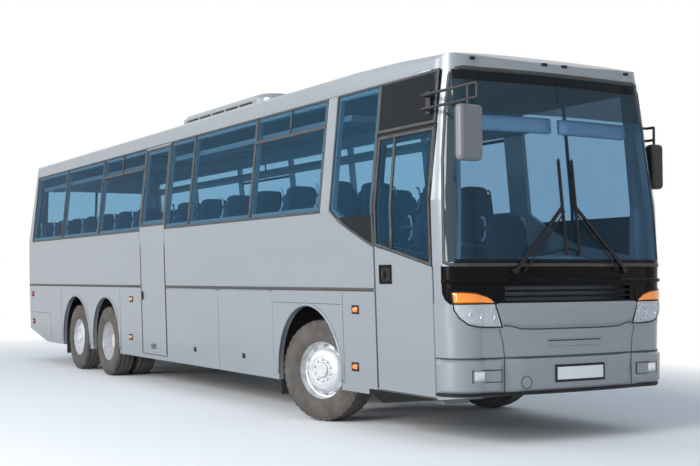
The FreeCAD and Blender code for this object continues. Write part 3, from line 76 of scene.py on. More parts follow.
class Finish:
    """A material under construction: node() adds a node, put() sets the Principled shader's sockets."""

    def __init__(self, name):
        self.material = bpy.data.materials.new(name)
        self.material.use_nodes = True
        self.tree = self.material.node_tree
        self.shader = self.tree.nodes["Principled BSDF"]
        self.place = self.node("ShaderNodeTexCoord", {}, {}, "Object")

    def feed(self, socket, value):
        """Link a socket to a wire, or set its value."""
        if isinstance(value, Wire):
            self.tree.links.new(value.socket, socket)
        elif hasattr(socket.default_value, "__len__") and len(socket.default_value) == 4 and len(value) == 3:
            socket.default_value = (*value, 1.0)
        else:
            socket.default_value = value

    def node(self, kind, settings, sockets, out=0):
        """Add a node, its settings first, then its inputs' values or links; gives one of its outputs."""
        made = self.tree.nodes.new(kind)
        for key, value in settings.items():
            if key == "stops":
                ramp = made.color_ramp
                while len(ramp.elements) < len(value):
                    ramp.elements.new(0.5)
                for element, (where, shade) in zip(ramp.elements, value):
                    element.position, element.color = where, (*shade, 1.0)
            else:
                setattr(made, key, value)
        for key, value in sockets.items():
            self.feed(made.inputs[key], value)
        return Wire(self, made.outputs[out])

    def put(self, **values):
        """Feed the shader's sockets, named with an underscore for each space."""
        for key, value in values.items():
            self.feed(self.shader.inputs[key.replace("_", " ")], value)
        return self

    def axis(self, letter):
        """One Object coordinate in metres."""
        return self.node("ShaderNodeSeparateXYZ", {}, {0: self.place}, "XYZ".index(letter))

    def noise(self, scale, detail=3.0, rough=0.5, stretch=(1, 1, 1)):
        """A noise's value over the Object coordinates, which stretch multiplies first."""
        spread = self.node("ShaderNodeMapping", {}, {"Vector": self.place, "Scale": stretch})
        sockets = {"Vector": spread, "Scale": scale, "Detail": detail, "Roughness": rough}
        return self.node("ShaderNodeTexNoise", {}, sockets)

    def mix(self, factor, first, second):
        """A colour between two by a factor."""
        return self.node("ShaderNodeMix", {"data_type": "RGBA"}, {0: factor, 6: first, 7: second}, 2)

    def step(self, value, low, high, start=0.0, end=1.0):
        """value carried from low..high to start..end and held beyond them."""
        sockets = {"Value": value, "From Min": low, "From Max": high, "To Min": start, "To Max": end}
        return self.node("ShaderNodeMapRange", {}, sockets)

    def bump(self, height, strength=0.3, distance=0.002):
        """A normal from a height, with its distance in metres."""
        return self.node("ShaderNodeBump", {}, {"Height": height, "Strength": strength, "Distance": distance})


def dress(finish, *pieces):
    """Give pieces one material in every slot."""
    for piece in pieces:
        piece.data.materials.clear()
        piece.data.materials.append(finish.material)


chassis = Finish("chassis_wax")
dust = chassis.step(chassis.noise(3.0, 6.0), 0.45, 0.75)
chassis.put(Base_Color=chassis.mix(dust, (0.018, 0.018, 0.019), (0.075, 0.068, 0.06)),
            Roughness=chassis.step(dust, 0, 1, 0.45, 0.8),
            Normal=chassis.bump(chassis.noise(60.0, 4.0), 0.25))
dress(chassis, *[nodes[name] for name in (
    "underframe", "wheel_housings", "front_axle", "drive_axle", "tag_axle", "knuckle_right", "knuckle_left",
    "engine_block", "door_front_arms", "door_mid_arms")])
rubber = Finish("sheet_rubber")
rubber.put(Base_Color=(0.02, 0.02, 0.02), Roughness=0.7, Normal=rubber.bump(rubber.noise(25.0, 4.0), 0.3))
dress(rubber, nodes["mud_flaps"])

# ------------------------------------------------------------------ wheels
# Steel discs with a domed cover, vent holes and a ring of nuts, painted silver, under road tyres whose
# rubber has gone grey brown. Each wheel is turned about its own joint's axis.
joints = {joint["name"]: joint for joint in frame["joints"]}


def surface(name, place, rows, columns, wrap=False):
    """A mesh over two parameters: place(u, v) gives x, y, z, with u from 0 to 1 along the rows and v
    from 0 to 1 along the columns; wrap joins the last row of quads to the first."""
    u = np.linspace(0, 1, rows, endpoint=not wrap)[:, None]
    v = np.linspace(0, 1, columns)[None, :]
    points = np.stack([part + 0 * u * v for part in place(u, v)], -1).reshape(-1, 3)
    first = np.arange(rows if wrap else rows - 1)[:, None]
    second = np.arange(columns - 1)[None, :]
    ahead = (first + 1) % rows
    quads = np.stack([first * columns + second, ahead * columns + second, ahead * columns + second + 1,
                      first * columns + second + 1], -1).reshape(-1, 4)
    return solid(name, points, quads)


def solid(name, points, faces):
    """An object from points and faces, smooth, linked to the scene."""
    mesh = bpy.data.meshes.new(name)
    faces = faces.tolist() if isinstance(faces, np.ndarray) else faces
    mesh.from_pydata(np.asarray(points, float).tolist(), [], faces)
    mesh.polygons.foreach_set("use_smooth", np.ones(len(mesh.polygons), bool))
    mesh.update()
    made = bpy.data.objects.new(name, mesh)
    bpy.context.scene.collection.objects.link(made)
    return made


def join(name, pieces):
    """One object from several, without operators; each piece keeps its material."""
    materials, points, faces, indices, smooth = [], [], [], [], []
    for piece in pieces:
        base, mesh = len(points), piece.data
        materials += [material for material in mesh.materials if material not in materials]
        slots = [materials.index(material) for material in mesh.materials] or [0]
        points += [tuple(vertex.co) for vertex in mesh.vertices]
        faces += [tuple(base + index for index in polygon.vertices) for polygon in mesh.polygons]
        indices += [slots[polygon.material_index] for polygon in mesh.polygons]
        smooth += [polygon.use_smooth for polygon in mesh.polygons]
        bpy.data.objects.remove(piece)
        bpy.data.meshes.remove(mesh)
    made = solid(name, points, faces)
    for material in materials:
        made.data.materials.append(material)
    made.data.polygons.foreach_set("material_index", indices)
    made.data.polygons.foreach_set("use_smooth", smooth)
    return made


def sharpen(piece, degrees=35.0):
    """Mark the edges that turn more than an angle as sharp."""
    mesh = piece.data
    mesh.set_sharp_from_angle(angle=math.radians(degrees))
    return piece


def ease(x):
    """A smooth step from 0 to 1 as x goes from 0 to 1."""
    x = np.clip(x, 0, 1)
    return x * x * (3 - 2 * x)


class Turning:
    """A wheel's own frame: outward along its axle, with points given as radius, place along and angle."""

    def __init__(self, joint, side):
        self.centre = np.array(joint["pos_m"], float)
        self.out = side * np.array(joint["axis"], float) / np.linalg.norm(joint["axis"])
        self.up = np.array([0.0, 0.0, 1.0])
        self.across = np.cross(self.up, self.out)

    def point(self, radius, along, angle):
        """centre + along * out + radius * (cos of the angle * across + sin of the angle * up)."""
        radial = [np.cos(angle) * self.across[k] + np.sin(angle) * self.up[k] for k in range(3)]
        return [self.centre[k] + along * self.out[k] + radius * radial[k] for k in range(3)]


TYRE_RADIUS, TYRE_HALF, BEAD_RADIUS, TWIN_PITCH, LUGS = 0.512, 0.145, 0.288, 0.335, 40


def tyre_mesh(name, wheel, offset):
    """A tyre: its sidewall swells between bead and shoulder as a sine, the tread is a shallow crown
    with three grooves round it, and its shoulders are notched forty times round."""
    sweep = np.linspace(0, 1, 24)
    side_radius = BEAD_RADIUS + (TYRE_RADIUS - 0.022 - BEAD_RADIUS) * sweep
    side_along = TYRE_HALF - 0.040 * (1 - np.sin(np.pi * np.clip(sweep / 1.15 + 0.08, 0, 1)) ** 0.7)
    rib = 0.0012 * (np.abs(sweep - 0.30) < 0.03) + 0.0015 * (np.abs(sweep - 0.86) < 0.03)
    tread_along = np.array([0.127, 0.118, 0.100, 0.075, 0.072, 0.064, 0.061, 0.04, 0.02, 0.006, 0.003])
    crown = TYRE_RADIUS - 0.010 * (tread_along / 0.127) ** 4
    groove = 0.011 * (((tread_along > 0.063) & (tread_along < 0.073)) | (tread_along < 0.004))
    half_radius = np.concatenate([side_radius, crown - groove])
    half_along = np.concatenate([side_along + rib, tread_along])
    radii = np.concatenate([half_radius, half_radius[::-1]])
    alongs = np.concatenate([half_along, -half_along[::-1]])
    count = len(radii)

    def place(u, v):
        index = np.round(v * (count - 1)).astype(int)
        radius, along = radii[index], alongs[index]
        notch = (np.mod(u * LUGS, 1) < 0.26) & (np.abs(along) > 0.078) & (radius > TYRE_RADIUS - 0.03)
        sipe = (np.mod(u * LUGS + 0.5, 1) < 0.16) & (np.abs(along) < 0.062)
        notch = notch | (sipe & (radius > TYRE_RADIUS - 0.004))
        return wheel.point(radius - 0.008 * notch, along + offset, 2 * np.pi * (1 - u))

    return sharpen(surface(name, place, 240, count, wrap=True), 30)


def disc_mesh(name, wheel, profile, holes):
    """A disc turned from a profile of radius and place along, whose vent holes are deep dips: holes
    gives their number, middle radius, half height, half width in turns and depth."""
    radii, alongs = np.array(profile).T
    travel = np.concatenate([[0], np.cumsum(np.hypot(np.diff(radii), np.diff(alongs)))])
    number, middle, height, width, depth = holes

    def place(u, v):
        radius = np.interp(v * travel[-1], travel, radii)
        along = np.interp(v * travel[-1], travel, alongs)
        away = np.abs(np.mod(u * number, 1) - 0.5) / (width * number)
        dip = ease((1 - np.hypot(away ** 1.5, (radius - middle) / height)) * 5)
        along = along - depth * dip * (radius > middle - 1.5 * height)
        return wheel.point(radius, along, 2 * np.pi * (1 - u))

    return sharpen(surface(name, place, 240, 90, wrap=True), 50)


def stud(name, wheel, radius, angle, low, high, size, sides=6):
    """A nut or cap: a prism with a bevelled top, standing on the disc."""
    rings = [(size, low), (size, high - 0.25 * size), (0.82 * size, high), (0.0, high)]
    reaches, levels = np.array(rings).T
    base = Turning({"pos_m": np.array(wheel.point(radius, 0.0, angle)), "axis": wheel.out}, 1)

    def place(u, v):
        index = np.round(v * (len(rings) - 1)).astype(int)
        return base.point(reaches[index], levels[index], 2 * np.pi * (1 - u))

    return sharpen(surface(name, place, sides, len(rings), wrap=True))


steel = Finish("wheel_silver")
grime = steel.step(steel.noise(16.0, 5.0, 0.6), 0.45, 0.75)
steel.put(Base_Color=steel.mix(grime * 0.6, (0.60, 0.61, 0.63), (0.30, 0.28, 0.26)), Metallic=0.35,
          Roughness=steel.step(grime, 0, 1, 0.35, 0.6))
tyre = Finish("tyre_rubber")
scuff = tyre.step(tyre.noise(7.0, 6.0, 0.6), 0.35, 0.7)
tyre.put(Base_Color=tyre.mix(scuff, (0.060, 0.053, 0.048), (0.105, 0.093, 0.084)),
         Roughness=0.85, Normal=tyre.bump(tyre.noise(120.0, 3.0), 0.15, 0.001))
# Near black, for the painted shade inside the wheels.
shade = Finish("shade_black")
shade.put(Base_Color=(0.01, 0.01, 0.01), Roughness=0.9)
# Profiles of the discs, radius and place along the axle: a single wheel's domes out, a twin's is deep
FLANGE = [(0.288, 0.080), (0.288, 0.112), (0.296, 0.118), (0.303, 0.114), (0.303, 0.106)]
SINGLE_DISC = [(0.0, 0.128), (0.066, 0.128), (0.074, 0.122), (0.078, 0.106), (0.130, 0.104), (0.136, 0.100),
               (0.140, 0.108), (0.190, 0.098), (0.214, 0.080), (0.228, 0.058), (0.262, 0.046), (0.276, 0.050),
               (0.280, 0.072)]
TWIN_DISC = [(0.0, 0.040), (0.098, 0.040), (0.108, 0.030), (0.112, -0.096), (0.118, -0.104), (0.200, -0.104),
             (0.226, -0.112), (0.252, -0.118), (0.266, -0.090), (0.272, -0.020), (0.278, 0.040)]
WHEELS = {"front_right": -1, "front_left": 1, "drive_right": -1, "drive_left": 1,
          "tag_right": -1, "tag_left": 1}
for name, side in WHEELS.items():
    twin = name.startswith("drive")
    wheel, body = Turning(joints["spin_" + name], side), "wheel_" + name
    offsets = (0.0, -TWIN_PITCH) if twin else (0.0,)
    tyres = [tyre_mesh("tread_%s_%d" % (name, k), wheel, offset) for k, offset in enumerate(offsets)]
    for piece in tyres:
        dress(tyre, piece)
    rubber_ring = join("tyre_dressed_" + name, tyres)
    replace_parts(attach(rubber_ring, body), "tyre_" + name)
    if twin:
        parts = [disc_mesh("disc", wheel, TWIN_DISC + FLANGE, (8, 0.232, 0.018, 0.030, 0.05))]
        parts += [stud("nut", wheel, 0.167, 0.3 + k * math.pi / 5, -0.106, -0.072, 0.0165) for k in range(10)]
    else:
        parts = [disc_mesh("disc", wheel, SINGLE_DISC + FLANGE, (10, 0.247, 0.013, 0.026, 0.05))]
        parts += [stud("nut", wheel, 0.108, 0.3 + k * math.pi / 5, 0.100, 0.122, 0.0155) for k in range(10)]
    back_along = -0.108 - (TWIN_PITCH if twin else 0)

    def barrel(u, v):
        return wheel.point(0.287 - 0.015 * np.sin(np.pi * v), 0.108 + (back_along - 0.108) * v, 2 * np.pi * u)

    def back(u, v):
        return wheel.point(0.286 * v, back_along + 0.04, 2 * np.pi * u)

    parts.append(surface("barrel", barrel, 96, 9, wrap=True))
    for piece in parts:
        dress(steel, piece)
    # A flat black disc behind the vent holes is painted shade: it stands for the dark inside of the wheel.
    shade_disc = surface("shade_disc", back, 64, 2, wrap=True)
    dress(shade, shade_disc)
    metal = join("rim_dressed_" + name, parts + [shade_disc])
    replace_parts(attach(metal, body), "rim_" + name)

# ------------------------------------------------------------------ body shell
# Painted steel and aluminium panels: silver grey metallic under clear lacquer, washed but not polished.
# The lowest strip under the front door and the sweep that crosses that door are black, without lacquer.
SKIRT_TOP, SWEEP_SLOPE, SWEEP_LEVEL, SWEEP_TOP = 0.408, 0.2135, 2.863, 3.245
silver = Finish("silver_lacquer")
flake = silver.node("ShaderNodeTexVoronoi", {}, {"Vector": silver.place, "Scale": 900.0}, "Color")
sparkle = silver.node("ShaderNodeSeparateColor", {}, {0: flake})
film = silver.noise(1.4, 5.0, 0.6, (0.4, 1.0, 1.6))
x_wire, y_wire, z_wire = [silver.axis(letter) for letter in "XYZ"]
low_dirt = silver.step(z_wire + silver.noise(5.0, 5.0) * 0.3, 0.85, 0.35)
tone = silver.mix(silver.step(film, 0.3, 0.7), (0.232, 0.256, 0.278), (0.250, 0.275, 0.298))
tone = silver.mix(sparkle * 0.10, tone, (0.60, 0.64, 0.69))
tone = silver.mix(low_dirt * 0.25, tone, (0.24, 0.23, 0.22))
door_side = y_wire < -1.0
skirt = (z_wire < SKIRT_TOP) * (x_wire > 5.10) * (x_wire < 6.26) * door_side
sweep = (z_wire + x_wire * SWEEP_SLOPE > SWEEP_LEVEL) * (z_wire < SWEEP_TOP)
sweep = sweep * (x_wire > 5.26) * (x_wire < 6.235) * door_side
dark = skirt.most(sweep)
silver.put(Base_Color=silver.mix(dark, tone, (0.006, 0.006, 0.006)),
           Metallic=silver.step(dark, 0, 1, 0.35, 0.0),
           Roughness=silver.step(low_dirt + film * 0.2 - sweep, 0, 1, 0.32, 0.6), Coat_Roughness=0.08,
           Coat_Weight=silver.step(dark, 0, 1, 0.45, 0.0), Specular_IOR_Level=0.12)
dress(silver, *[nodes[name] for name in (
    "side_wall_right", "side_wall_left", "roof", "roof_coves", "roof_ends", "screen_frame", "front_panel",
    "front_bumper", "front_lamps", "rear_wall", "rear_bumper", "engine_door", "flap_right_front",
    "flap_right_rear", "flap_left_front", "flap_left_middle", "flap_left_rear", "door_front", "door_mid",
    "air_conditioner", "hatch_front", "hatch_rear")])

# ------------------------------------------------------------------ glass
# Blue tinted toughened glass in every pane, black behind the edges of the windscreen and in a band
# across its top; the header over the front door is backed in black.


def glazing(name, backed, tint, body, share):
    """Tinted glass; backed(finish) gives a wire that is 1 where black print covers the pane, and share
    is how much of each face shows the glass's own colour."""
    glass = Finish(name)
    clear = glass.node("ShaderNodeBsdfTransparent", {}, {"Color": tint})
    black_print = backed(glass)
    glass.put(Base_Color=glass.mix(black_print, body, (0.010, 0.012, 0.015)), Roughness=0.03,
              Specular_IOR_Level=0.07)
    sockets = {0: glass.step(black_print, 0, 1, share, 1.0), 1: clear,
               2: Wire(glass, glass.shader.outputs[0])}
    both = glass.node("ShaderNodeMixShader", {}, sockets)
    glass.feed(glass.tree.nodes["Material Output"].inputs["Surface"], both)
    return glass


HEADER_LOW, HEADER_REAR, QUARTER_LOW, QUARTER_REAR = 2.79, 5.25, 2.03, 4.40
PRINT_TOP, SHADE_LOW, PRINT_FOOT = 3.155, 2.88, 1.60


def side_print(glass):
    """1 on the header over the front door and below the clear part of the quarter window."""
    header = (glass.axis("Z") > HEADER_LOW) * (glass.axis("X") > HEADER_REAR) * (glass.axis("Y") < 0)
    return header.most((glass.axis("Z") < QUARTER_LOW) * (glass.axis("X") > QUARTER_REAR))


def no_print(glass):
    """0 all over: no pane of a door lies below the floor."""
    return glass.axis("Z") < 0


def screen_print(glass):
    """1 along the foot of the windscreen and across its top, 0.6 in the shade band under that."""
    top = (glass.axis("Z") > PRINT_TOP).most((glass.axis("Z") > SHADE_LOW) * 0.6)
    return top.most(glass.axis("Z") < PRINT_FOOT)


SIDE_TINT, SIDE_BODY, SIDE_SHARE = (0.74, 0.89, 0.97), (0.040, 0.105, 0.165), 0.16
SCREEN_TINT, SCREEN_BODY, SCREEN_SHARE = (0.74, 0.85, 0.95), (0.075, 0.135, 0.170), 0.18
dress(glazing("side_glass", side_print, SIDE_TINT, SIDE_BODY, SIDE_SHARE), nodes["body_glass"])
dress(glazing("door_glass", no_print, SIDE_TINT, SIDE_BODY, SIDE_SHARE), nodes["door_front_glass"],
      nodes["door_mid_glass"])
dress(glazing("screen_glass", screen_print, SCREEN_TINT, SCREEN_BODY, SCREEN_SHARE), nodes["windscreen"])


def mottled(name, grain, low, high, **rest):
    """A finish whose colour goes from low to high with a noise; grain holds the noise's scale and detail."""
    finish = Finish(name)
    finish.put(Base_Color=finish.mix(finish.noise(*grain), low, high), **rest)
    return finish


black = Finish("black_gloss")
black.put(Base_Color=(0.004, 0.004, 0.005), Roughness=0.20, Specular_IOR_Level=0.07, Coat_Weight=0.01)
satin = mottled("black_satin", (20.0, 4.0), (0.008, 0.008, 0.009), (0.014, 0.014, 0.015), Roughness=0.5,
                Specular_IOR_Level=0.25)
dress(black, nodes["cowl_grille"])
dress(satin, nodes["wipers"])

# ------------------------------------------------------------------ window seals and pillars
# Black rubber seals and bonded pillar covers that follow the panes' edges, with sliding hoppers in
# two windows and a swept black band under the quarter window and across the front door.
SHELL = ("side_wall_right", "side_wall_left", "roof", "roof_coves", "roof_ends", "screen_frame", "windscreen",
         "cowl_grille", "front_panel", "front_bumper", "rear_wall", "rear_bumper", "body_glass",
         "engine_door", "door_front", "door_front_glass", "door_mid", "door_mid_glass", "front_lamps",
         "tail_lamps")
corners, sheets = [], []
for shell_name in SHELL:
    shell_mesh = nodes[shell_name].data
    shift = len(corners)
    corners += [tuple(vertex.co) for vertex in shell_mesh.vertices]
    sheets += [tuple(shift + index for index in polygon.vertices) for polygon in shell_mesh.polygons]
skin = BVHTree.FromPolygons(corners, sheets)
SIDE_LEVELS, SIDE_HALVES = (0.256, 1.54, 2.11, 3.71), (1.190, 1.232, 1.250, 1.0928)


def flank(side, x, z):
    """A point and its normal on the straight side: the half width is linear between four levels."""
    half = np.interp(z, SIDE_LEVELS, SIDE_HALVES)
    levels = np.interp([z + 0.05, z - 0.05], SIDE_LEVELS, SIDE_HALVES)
    slope = (levels[0] - levels[1]) / 0.1
    return Vector((x, side * half, z)), Vector((0, side, -slope)).normalized()


def met(start, direction):
    """The skin's point and outward normal that a ray from outside meets first."""
    direction = Vector(direction).normalized()
    for aside in (0, 0.03, -0.03, 0.06):
        moved = Vector((0, 0, aside))
        place, normal, index, distance = skin.ray_cast(Vector(start) + moved, direction)
        if place is not None and abs(normal.dot(direction)) > 0.2:
            return place - moved, (normal if normal.dot(direction) < 0 else -normal)
    raise ValueError("no skin at %s" % (start,))


def right(x, z):
    """The door side by x and z."""
    return flank(-1, x, z)


def left(x, z):
    """The driver's side by x and z."""
    return flank(1, x, z)


SIDES = (("right", right), ("left", left))
HANDS = ((-1, "right"), (1, "left"))


CORNER_X, CORNER_Y, CORNER_RUN, CORNER_SWING = 6.25, 0.9, 0.33, math.radians(89.5)


def corner(side, angle, z):
    """A place on a round corner of the nose, met by a ray toward the corner's middle."""
    middle = Vector((CORNER_X, side * CORNER_Y, z))
    out = Vector((math.cos(angle), side * math.sin(angle), 0))
    return met(middle + 2 * out, -out)


def nose(t, z):
    """Round the nose: t is y up to the corners, and past them the ray swings by a quarter turn while t
    grows by the corner's run."""
    if abs(t) <= CORNER_Y:
        return met((9, t, z), (-1, 0, 0))
    angle = min((abs(t) - CORNER_Y) / CORNER_RUN, 1.0) * CORNER_SWING
    return corner(math.copysign(1, t), angle, z)


def face(y, z):
    """A place on the nose by its true y, found on the corners by halving the angle's range."""
    if abs(y) <= CORNER_Y:
        return met((9, y, z), (-1, 0, 0))
    low, high = 0.0, CORNER_SWING
    for _ in range(14):
        middle = (low + high) / 2
        if abs(corner(math.copysign(1, y), middle, z)[0].y) < abs(y):
            low = middle
        else:
            high = middle
    return corner(math.copysign(1, y), low, z)


def tail(y, z):
    """A place on the rear, met from behind."""
    return met((-9, y, z), (1, 0, 0))


def crown(x, y):
    """A place on the roof, met from above."""
    return met((x, y, 6), (0, 0, -1))


def along(points, count):
    """Points spread evenly along a broken line, both ends kept."""
    points = np.array(points, float)
    reach = np.concatenate([[0], np.cumsum(np.linalg.norm(np.diff(points, axis=0), axis=1))])
    spread = np.union1d(np.linspace(0, reach[-1], count), reach)
    return np.stack([np.interp(spread, reach, points[:, k]) for k in range(points.shape[1])], -1)


def strip(name, view, route, width, rise=0.004, sink=0.006, pitch=0.12, loop=False):
    """A flat-topped strip run along a route on one view of the skin; its section is a box of the given
    width whose upper edges are cut off at 45 degrees."""
    route = list(route) + ([route[0]] if loop else [])
    length = float(np.sum(np.linalg.norm(np.diff(np.array(route, float), axis=0), axis=1)))
    spots = [view(*place) for place in along(route, max(2, int(length / pitch) + 1))]
    if loop:
        spots = spots[:-1]
    half, cut = width / 2, min(width / 2, rise) * 0.5
    section = [(-half, -sink), (-half, rise - cut), (-half + cut, rise), (half - cut, rise),
               (half, rise - cut), (half, -sink)]
    points, count = [], len(spots)
    for index, (place, normal) in enumerate(spots):
        before = spots[index - 1][0] if index or loop else place
        after = spots[(index + 1) % count][0] if index < count - 1 or loop else place
        way_in, way_out = (place - before), (after - place)
        way = (way_in.normalized() + way_out.normalized()).normalized()
        across = way.cross(normal).normalized()
        turn = way.dot(way_out.normalized() if way_out.length else way_in.normalized())
        points += [place + across * (a / max(turn, 0.5)) + normal * b for a, b in section]
    size = len(section)
    faces = [(i * size + k, i * size + (k + 1) % size, ((i + 1) % count) * size + (k + 1) % size,
              ((i + 1) % count) * size + k)
             for i in range(count if loop else count - 1) for k in range(size)]
    if not loop:
        faces += [tuple(range(size))[::-1], tuple(range((count - 1) * size, count * size))]
    return sharpen(solid(name, points, faces), 30)


def patch(name, view, low, high, rise=0.004, sink=0.006, rows=12, columns=6, soft=0.0):
    """A closed panel on one view of the skin, between a low and a high line; with soft above zero it
    swells from its edges to the rise by an eased step over that share of its size."""
    low, high = np.array(low, float), np.array(high, float)

    def line(points, share):
        """The place at a share of a line whose points count as evenly spread."""
        reach = np.linspace(0, 1, len(points))
        return np.array([np.interp(share, reach, points[:, k]) for k in range(2)])

    front, back = [], []
    for u in np.linspace(0, 1, rows):
        for v in np.linspace(0, 1, columns):
            place, normal = view(*(line(low, u) * (1 - v) + line(high, u) * v))
            edge = min(u, 1 - u, v, 1 - v)
            swell = float(ease(edge / soft)) if soft else 1.0
            front.append(place + normal * (rise * swell))
            back.append(place - normal * sink)
    grid = [(i * columns + j, (i + 1) * columns + j, (i + 1) * columns + j + 1, i * columns + j + 1)
            for i in range(rows - 1) for j in range(columns - 1)]
    base = len(front)
    ring = ([i * columns for i in range(rows)] + [(rows - 1) * columns + j for j in range(1, columns)]
            + [i * columns + columns - 1 for i in range(rows - 2, -1, -1)] + list(range(columns - 2, 0, -1)))
    faces = grid + [tuple(base + k for k in face[::-1]) for face in grid]
    faces += [(b, a, base + a, base + b) for a, b in zip(ring, ring[1:] + ring[:1])]
    made = solid(name, front + back, faces)
    outward = sum((Vector(front[face[0]]) - Vector(back[face[0]])).dot(made.data.polygons[i].normal)
                  for i, face in enumerate(grid))
    if outward < 0:
        made.data.flip_normals()
    return sharpen(made, 40)


def tile(name, view, low, high, *shape):
    """A patch over the upright rectangle between two opposite corners."""
    (x0, z0), (x1, z1) = low, high
    return patch(name, view, [(x0, z0), (x1, z0)], [(x0, z1), (x1, z1)], *shape)


def border(name, view, low, high, width, rise, pitch=0.12):
    """A closed strip round the rectangle between two opposite corners."""
    (x0, z0), (x1, z1) = low, high
    return strip(name, view, [(x0, z0), (x1, z0), (x1, z1), (x0, z1)], width, rise, pitch=pitch, loop=True)


def tidy_normals(piece):
    """Turn the faces of a closed piece outward."""
    shape = bmesh.new()
    shape.from_mesh(piece.data)
    bmesh.ops.recalc_face_normals(shape, faces=shape.faces)
    shape.to_mesh(piece.data)
    shape.free()
    return piece


def fit(finish, *pieces, body="coach_body"):
    """Finish, slot and body of new pieces in one call, their faces first turned outward."""
    for piece in pieces:
        tidy_normals(piece)
        dress(finish, piece)
        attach(piece, body)


seal = Finish("seal_rubber")
seal.put(Base_Color=seal.mix(seal.step(seal.noise(14.0, 4.0), 0.4, 0.7), (0.028, 0.028, 0.029),
                             (0.052, 0.050, 0.050)),
         Roughness=0.55, Normal=seal.bump(seal.noise(80.0), 0.15, 0.001))
WAIST, EAVES, HOPPER = 2.105, 3.246, 2.965
PILLARS = {"right": (-4.743, -2.835, 0.759, 2.574), "left": (-4.743, -2.835, -1.015, 0.759, 2.574)}
for label, view in SIDES:
    parts = [strip("pillar", view, [(x, WAIST), (x, EAVES)], 0.052, 0.005) for x in PILLARS[label]]
    ends = [(-6.542, -1.022), (-0.062, 4.226)] if label == "right" else [(-6.542, 4.226)]
    parts += [border("edge", view, (rear, WAIST), (front, EAVES), 0.030, 0.005) for rear, front in ends]
    for rear, front, middle in ((2.574, 4.220, 3.43), (-2.835, -1.015, -1.95)):
        parts.append(strip("bar", view, [(rear, HOPPER), (front, HOPPER)], 0.036, 0.008))
        parts.append(strip("divider", view, [(middle, HOPPER), (middle, EAVES)], 0.030, 0.008))
    fit(seal, join("window_seals_" + label, parts))
quarter = [(4.440, EAVES), (4.440, 2.110), (4.62, 1.995), (4.83, 1.905), (5.05, 1.815), (5.246, 1.742)]
parts = [strip("quarter", right, quarter + [(5.246, EAVES)], 0.026, 0.005, loop=True),
         border("header", right, (5.262, 2.795), (6.205, EAVES), 0.030, 0.006)]
fit(seal, join("quarter_seals_right", parts))
driver_side = quarter + [(5.42, 1.690), (6.105, 1.600), (6.105, EAVES)]
parts = [strip("quarter", left, driver_side, 0.026, 0.005, loop=True),
         strip("driver_pillar", left, [(5.15, 1.78), (5.15, EAVES)], 0.045, 0.006)]
fit(seal, join("quarter_seals_left", parts))

screen_side = [(1.216, 1.575), (1.213, 2.10), (1.185, 2.45), (1.135, 2.88), (1.088, 3.19)]
edge = [(-1.17, 1.550), (1.17, 1.550), (1.20, 1.560)] + screen_side + [(1.055, 3.245), (0.98, 3.262)]
edge += [(-0.98, 3.262), (-1.055, 3.245)] + [(-y, z) for y, z in screen_side[::-1]] + [(-1.20, 1.560)]
parts = [strip("surround", face, edge, 0.030, 0.007, pitch=0.08, loop=True),
         strip("centre", face, [(0, 1.55), (0, 3.25)], 0.042, 0.008)]
fit(seal, join("screen_seals", parts))
print_edge = mottled("screen_print", (2.0,), (0.012, 0.030, 0.042), (0.020, 0.042, 0.058), Roughness=0.05)
for side, label in HANDS:
    outer = [(side * y, z) for y, z in screen_side]
    inner_edge = [(side * (1.158 - 0.0551 * (z - 1.54)), z) for y, z in screen_side]
    fit(print_edge, patch("screen_print_" + label, face, inner_edge, outer, 0.003, 0.003, 24, 6))

# ------------------------------------------------------------------ body seams and side trims
# A black protective strip at belt height, thin joints between panels, raised lips round the wheel
# arches, amber and red side markers, and the flush handles of the flaps.
joint_line = Finish("panel_joint")
joint_line.put(Base_Color=(0.030, 0.031, 0.033), Roughness=0.7)
ARCHES = {"front": (3.210, 4.580), "drive": (-3.190, -1.950), "tag": (-4.780, -3.350)}
ARCH_TOP = 1.160
BELT, LOW = 1.333, 0.375
for label, view in SIDES:
    spans = [(-6.80, -1.03), (-0.055, 5.235)] if label == "right" else [(-6.80, 6.15)]
    belt = [strip("belt", view, [(rear, BELT), (front, BELT)], 0.034, 0.006, pitch=0.6)
            for rear, front in spans]
    fit(seal, join("belt_strip_" + label, belt))
    seams = [strip("seam", view, [(x, LOW + 0.05), (x, 1.30)], 0.006, 0.0012) for x in (4.640, -1.90)]
    seams.append(strip("seam", view, [(3.12, 1.186), (4.60, 1.186)], 0.005, 0.0012))
    seams.append(strip("seam", view, [(-6.75, 0.85), (-5.50, 0.85), (-5.50, 0.42)], 0.006, 0.0012))
    seams.append(strip("seam", view, [(-4.86, 1.26), (-4.86, 0.42)], 0.006, 0.0012))
    fit(joint_line, join("panel_seams_" + label, seams))
    lips, foot = [], 0.42
    for rear, front in ARCHES.values():
        reach = (front - rear) / 2 + 0.012
        bow = [((rear + front) / 2 + reach * math.cos(t), ARCH_TOP - reach + 0.012 + reach * math.sin(t))
               for t in np.linspace(math.pi, 0, 25)]
        stands = ARCH_TOP - reach > foot
        route = [(rear - 0.012, foot)] * stands + bow + [(front + 0.012, foot)] * stands
        lips.append(strip("lip", view, route, 0.030, 0.012, pitch=0.06))
    fit(silver, join("arch_lips_" + label, lips))

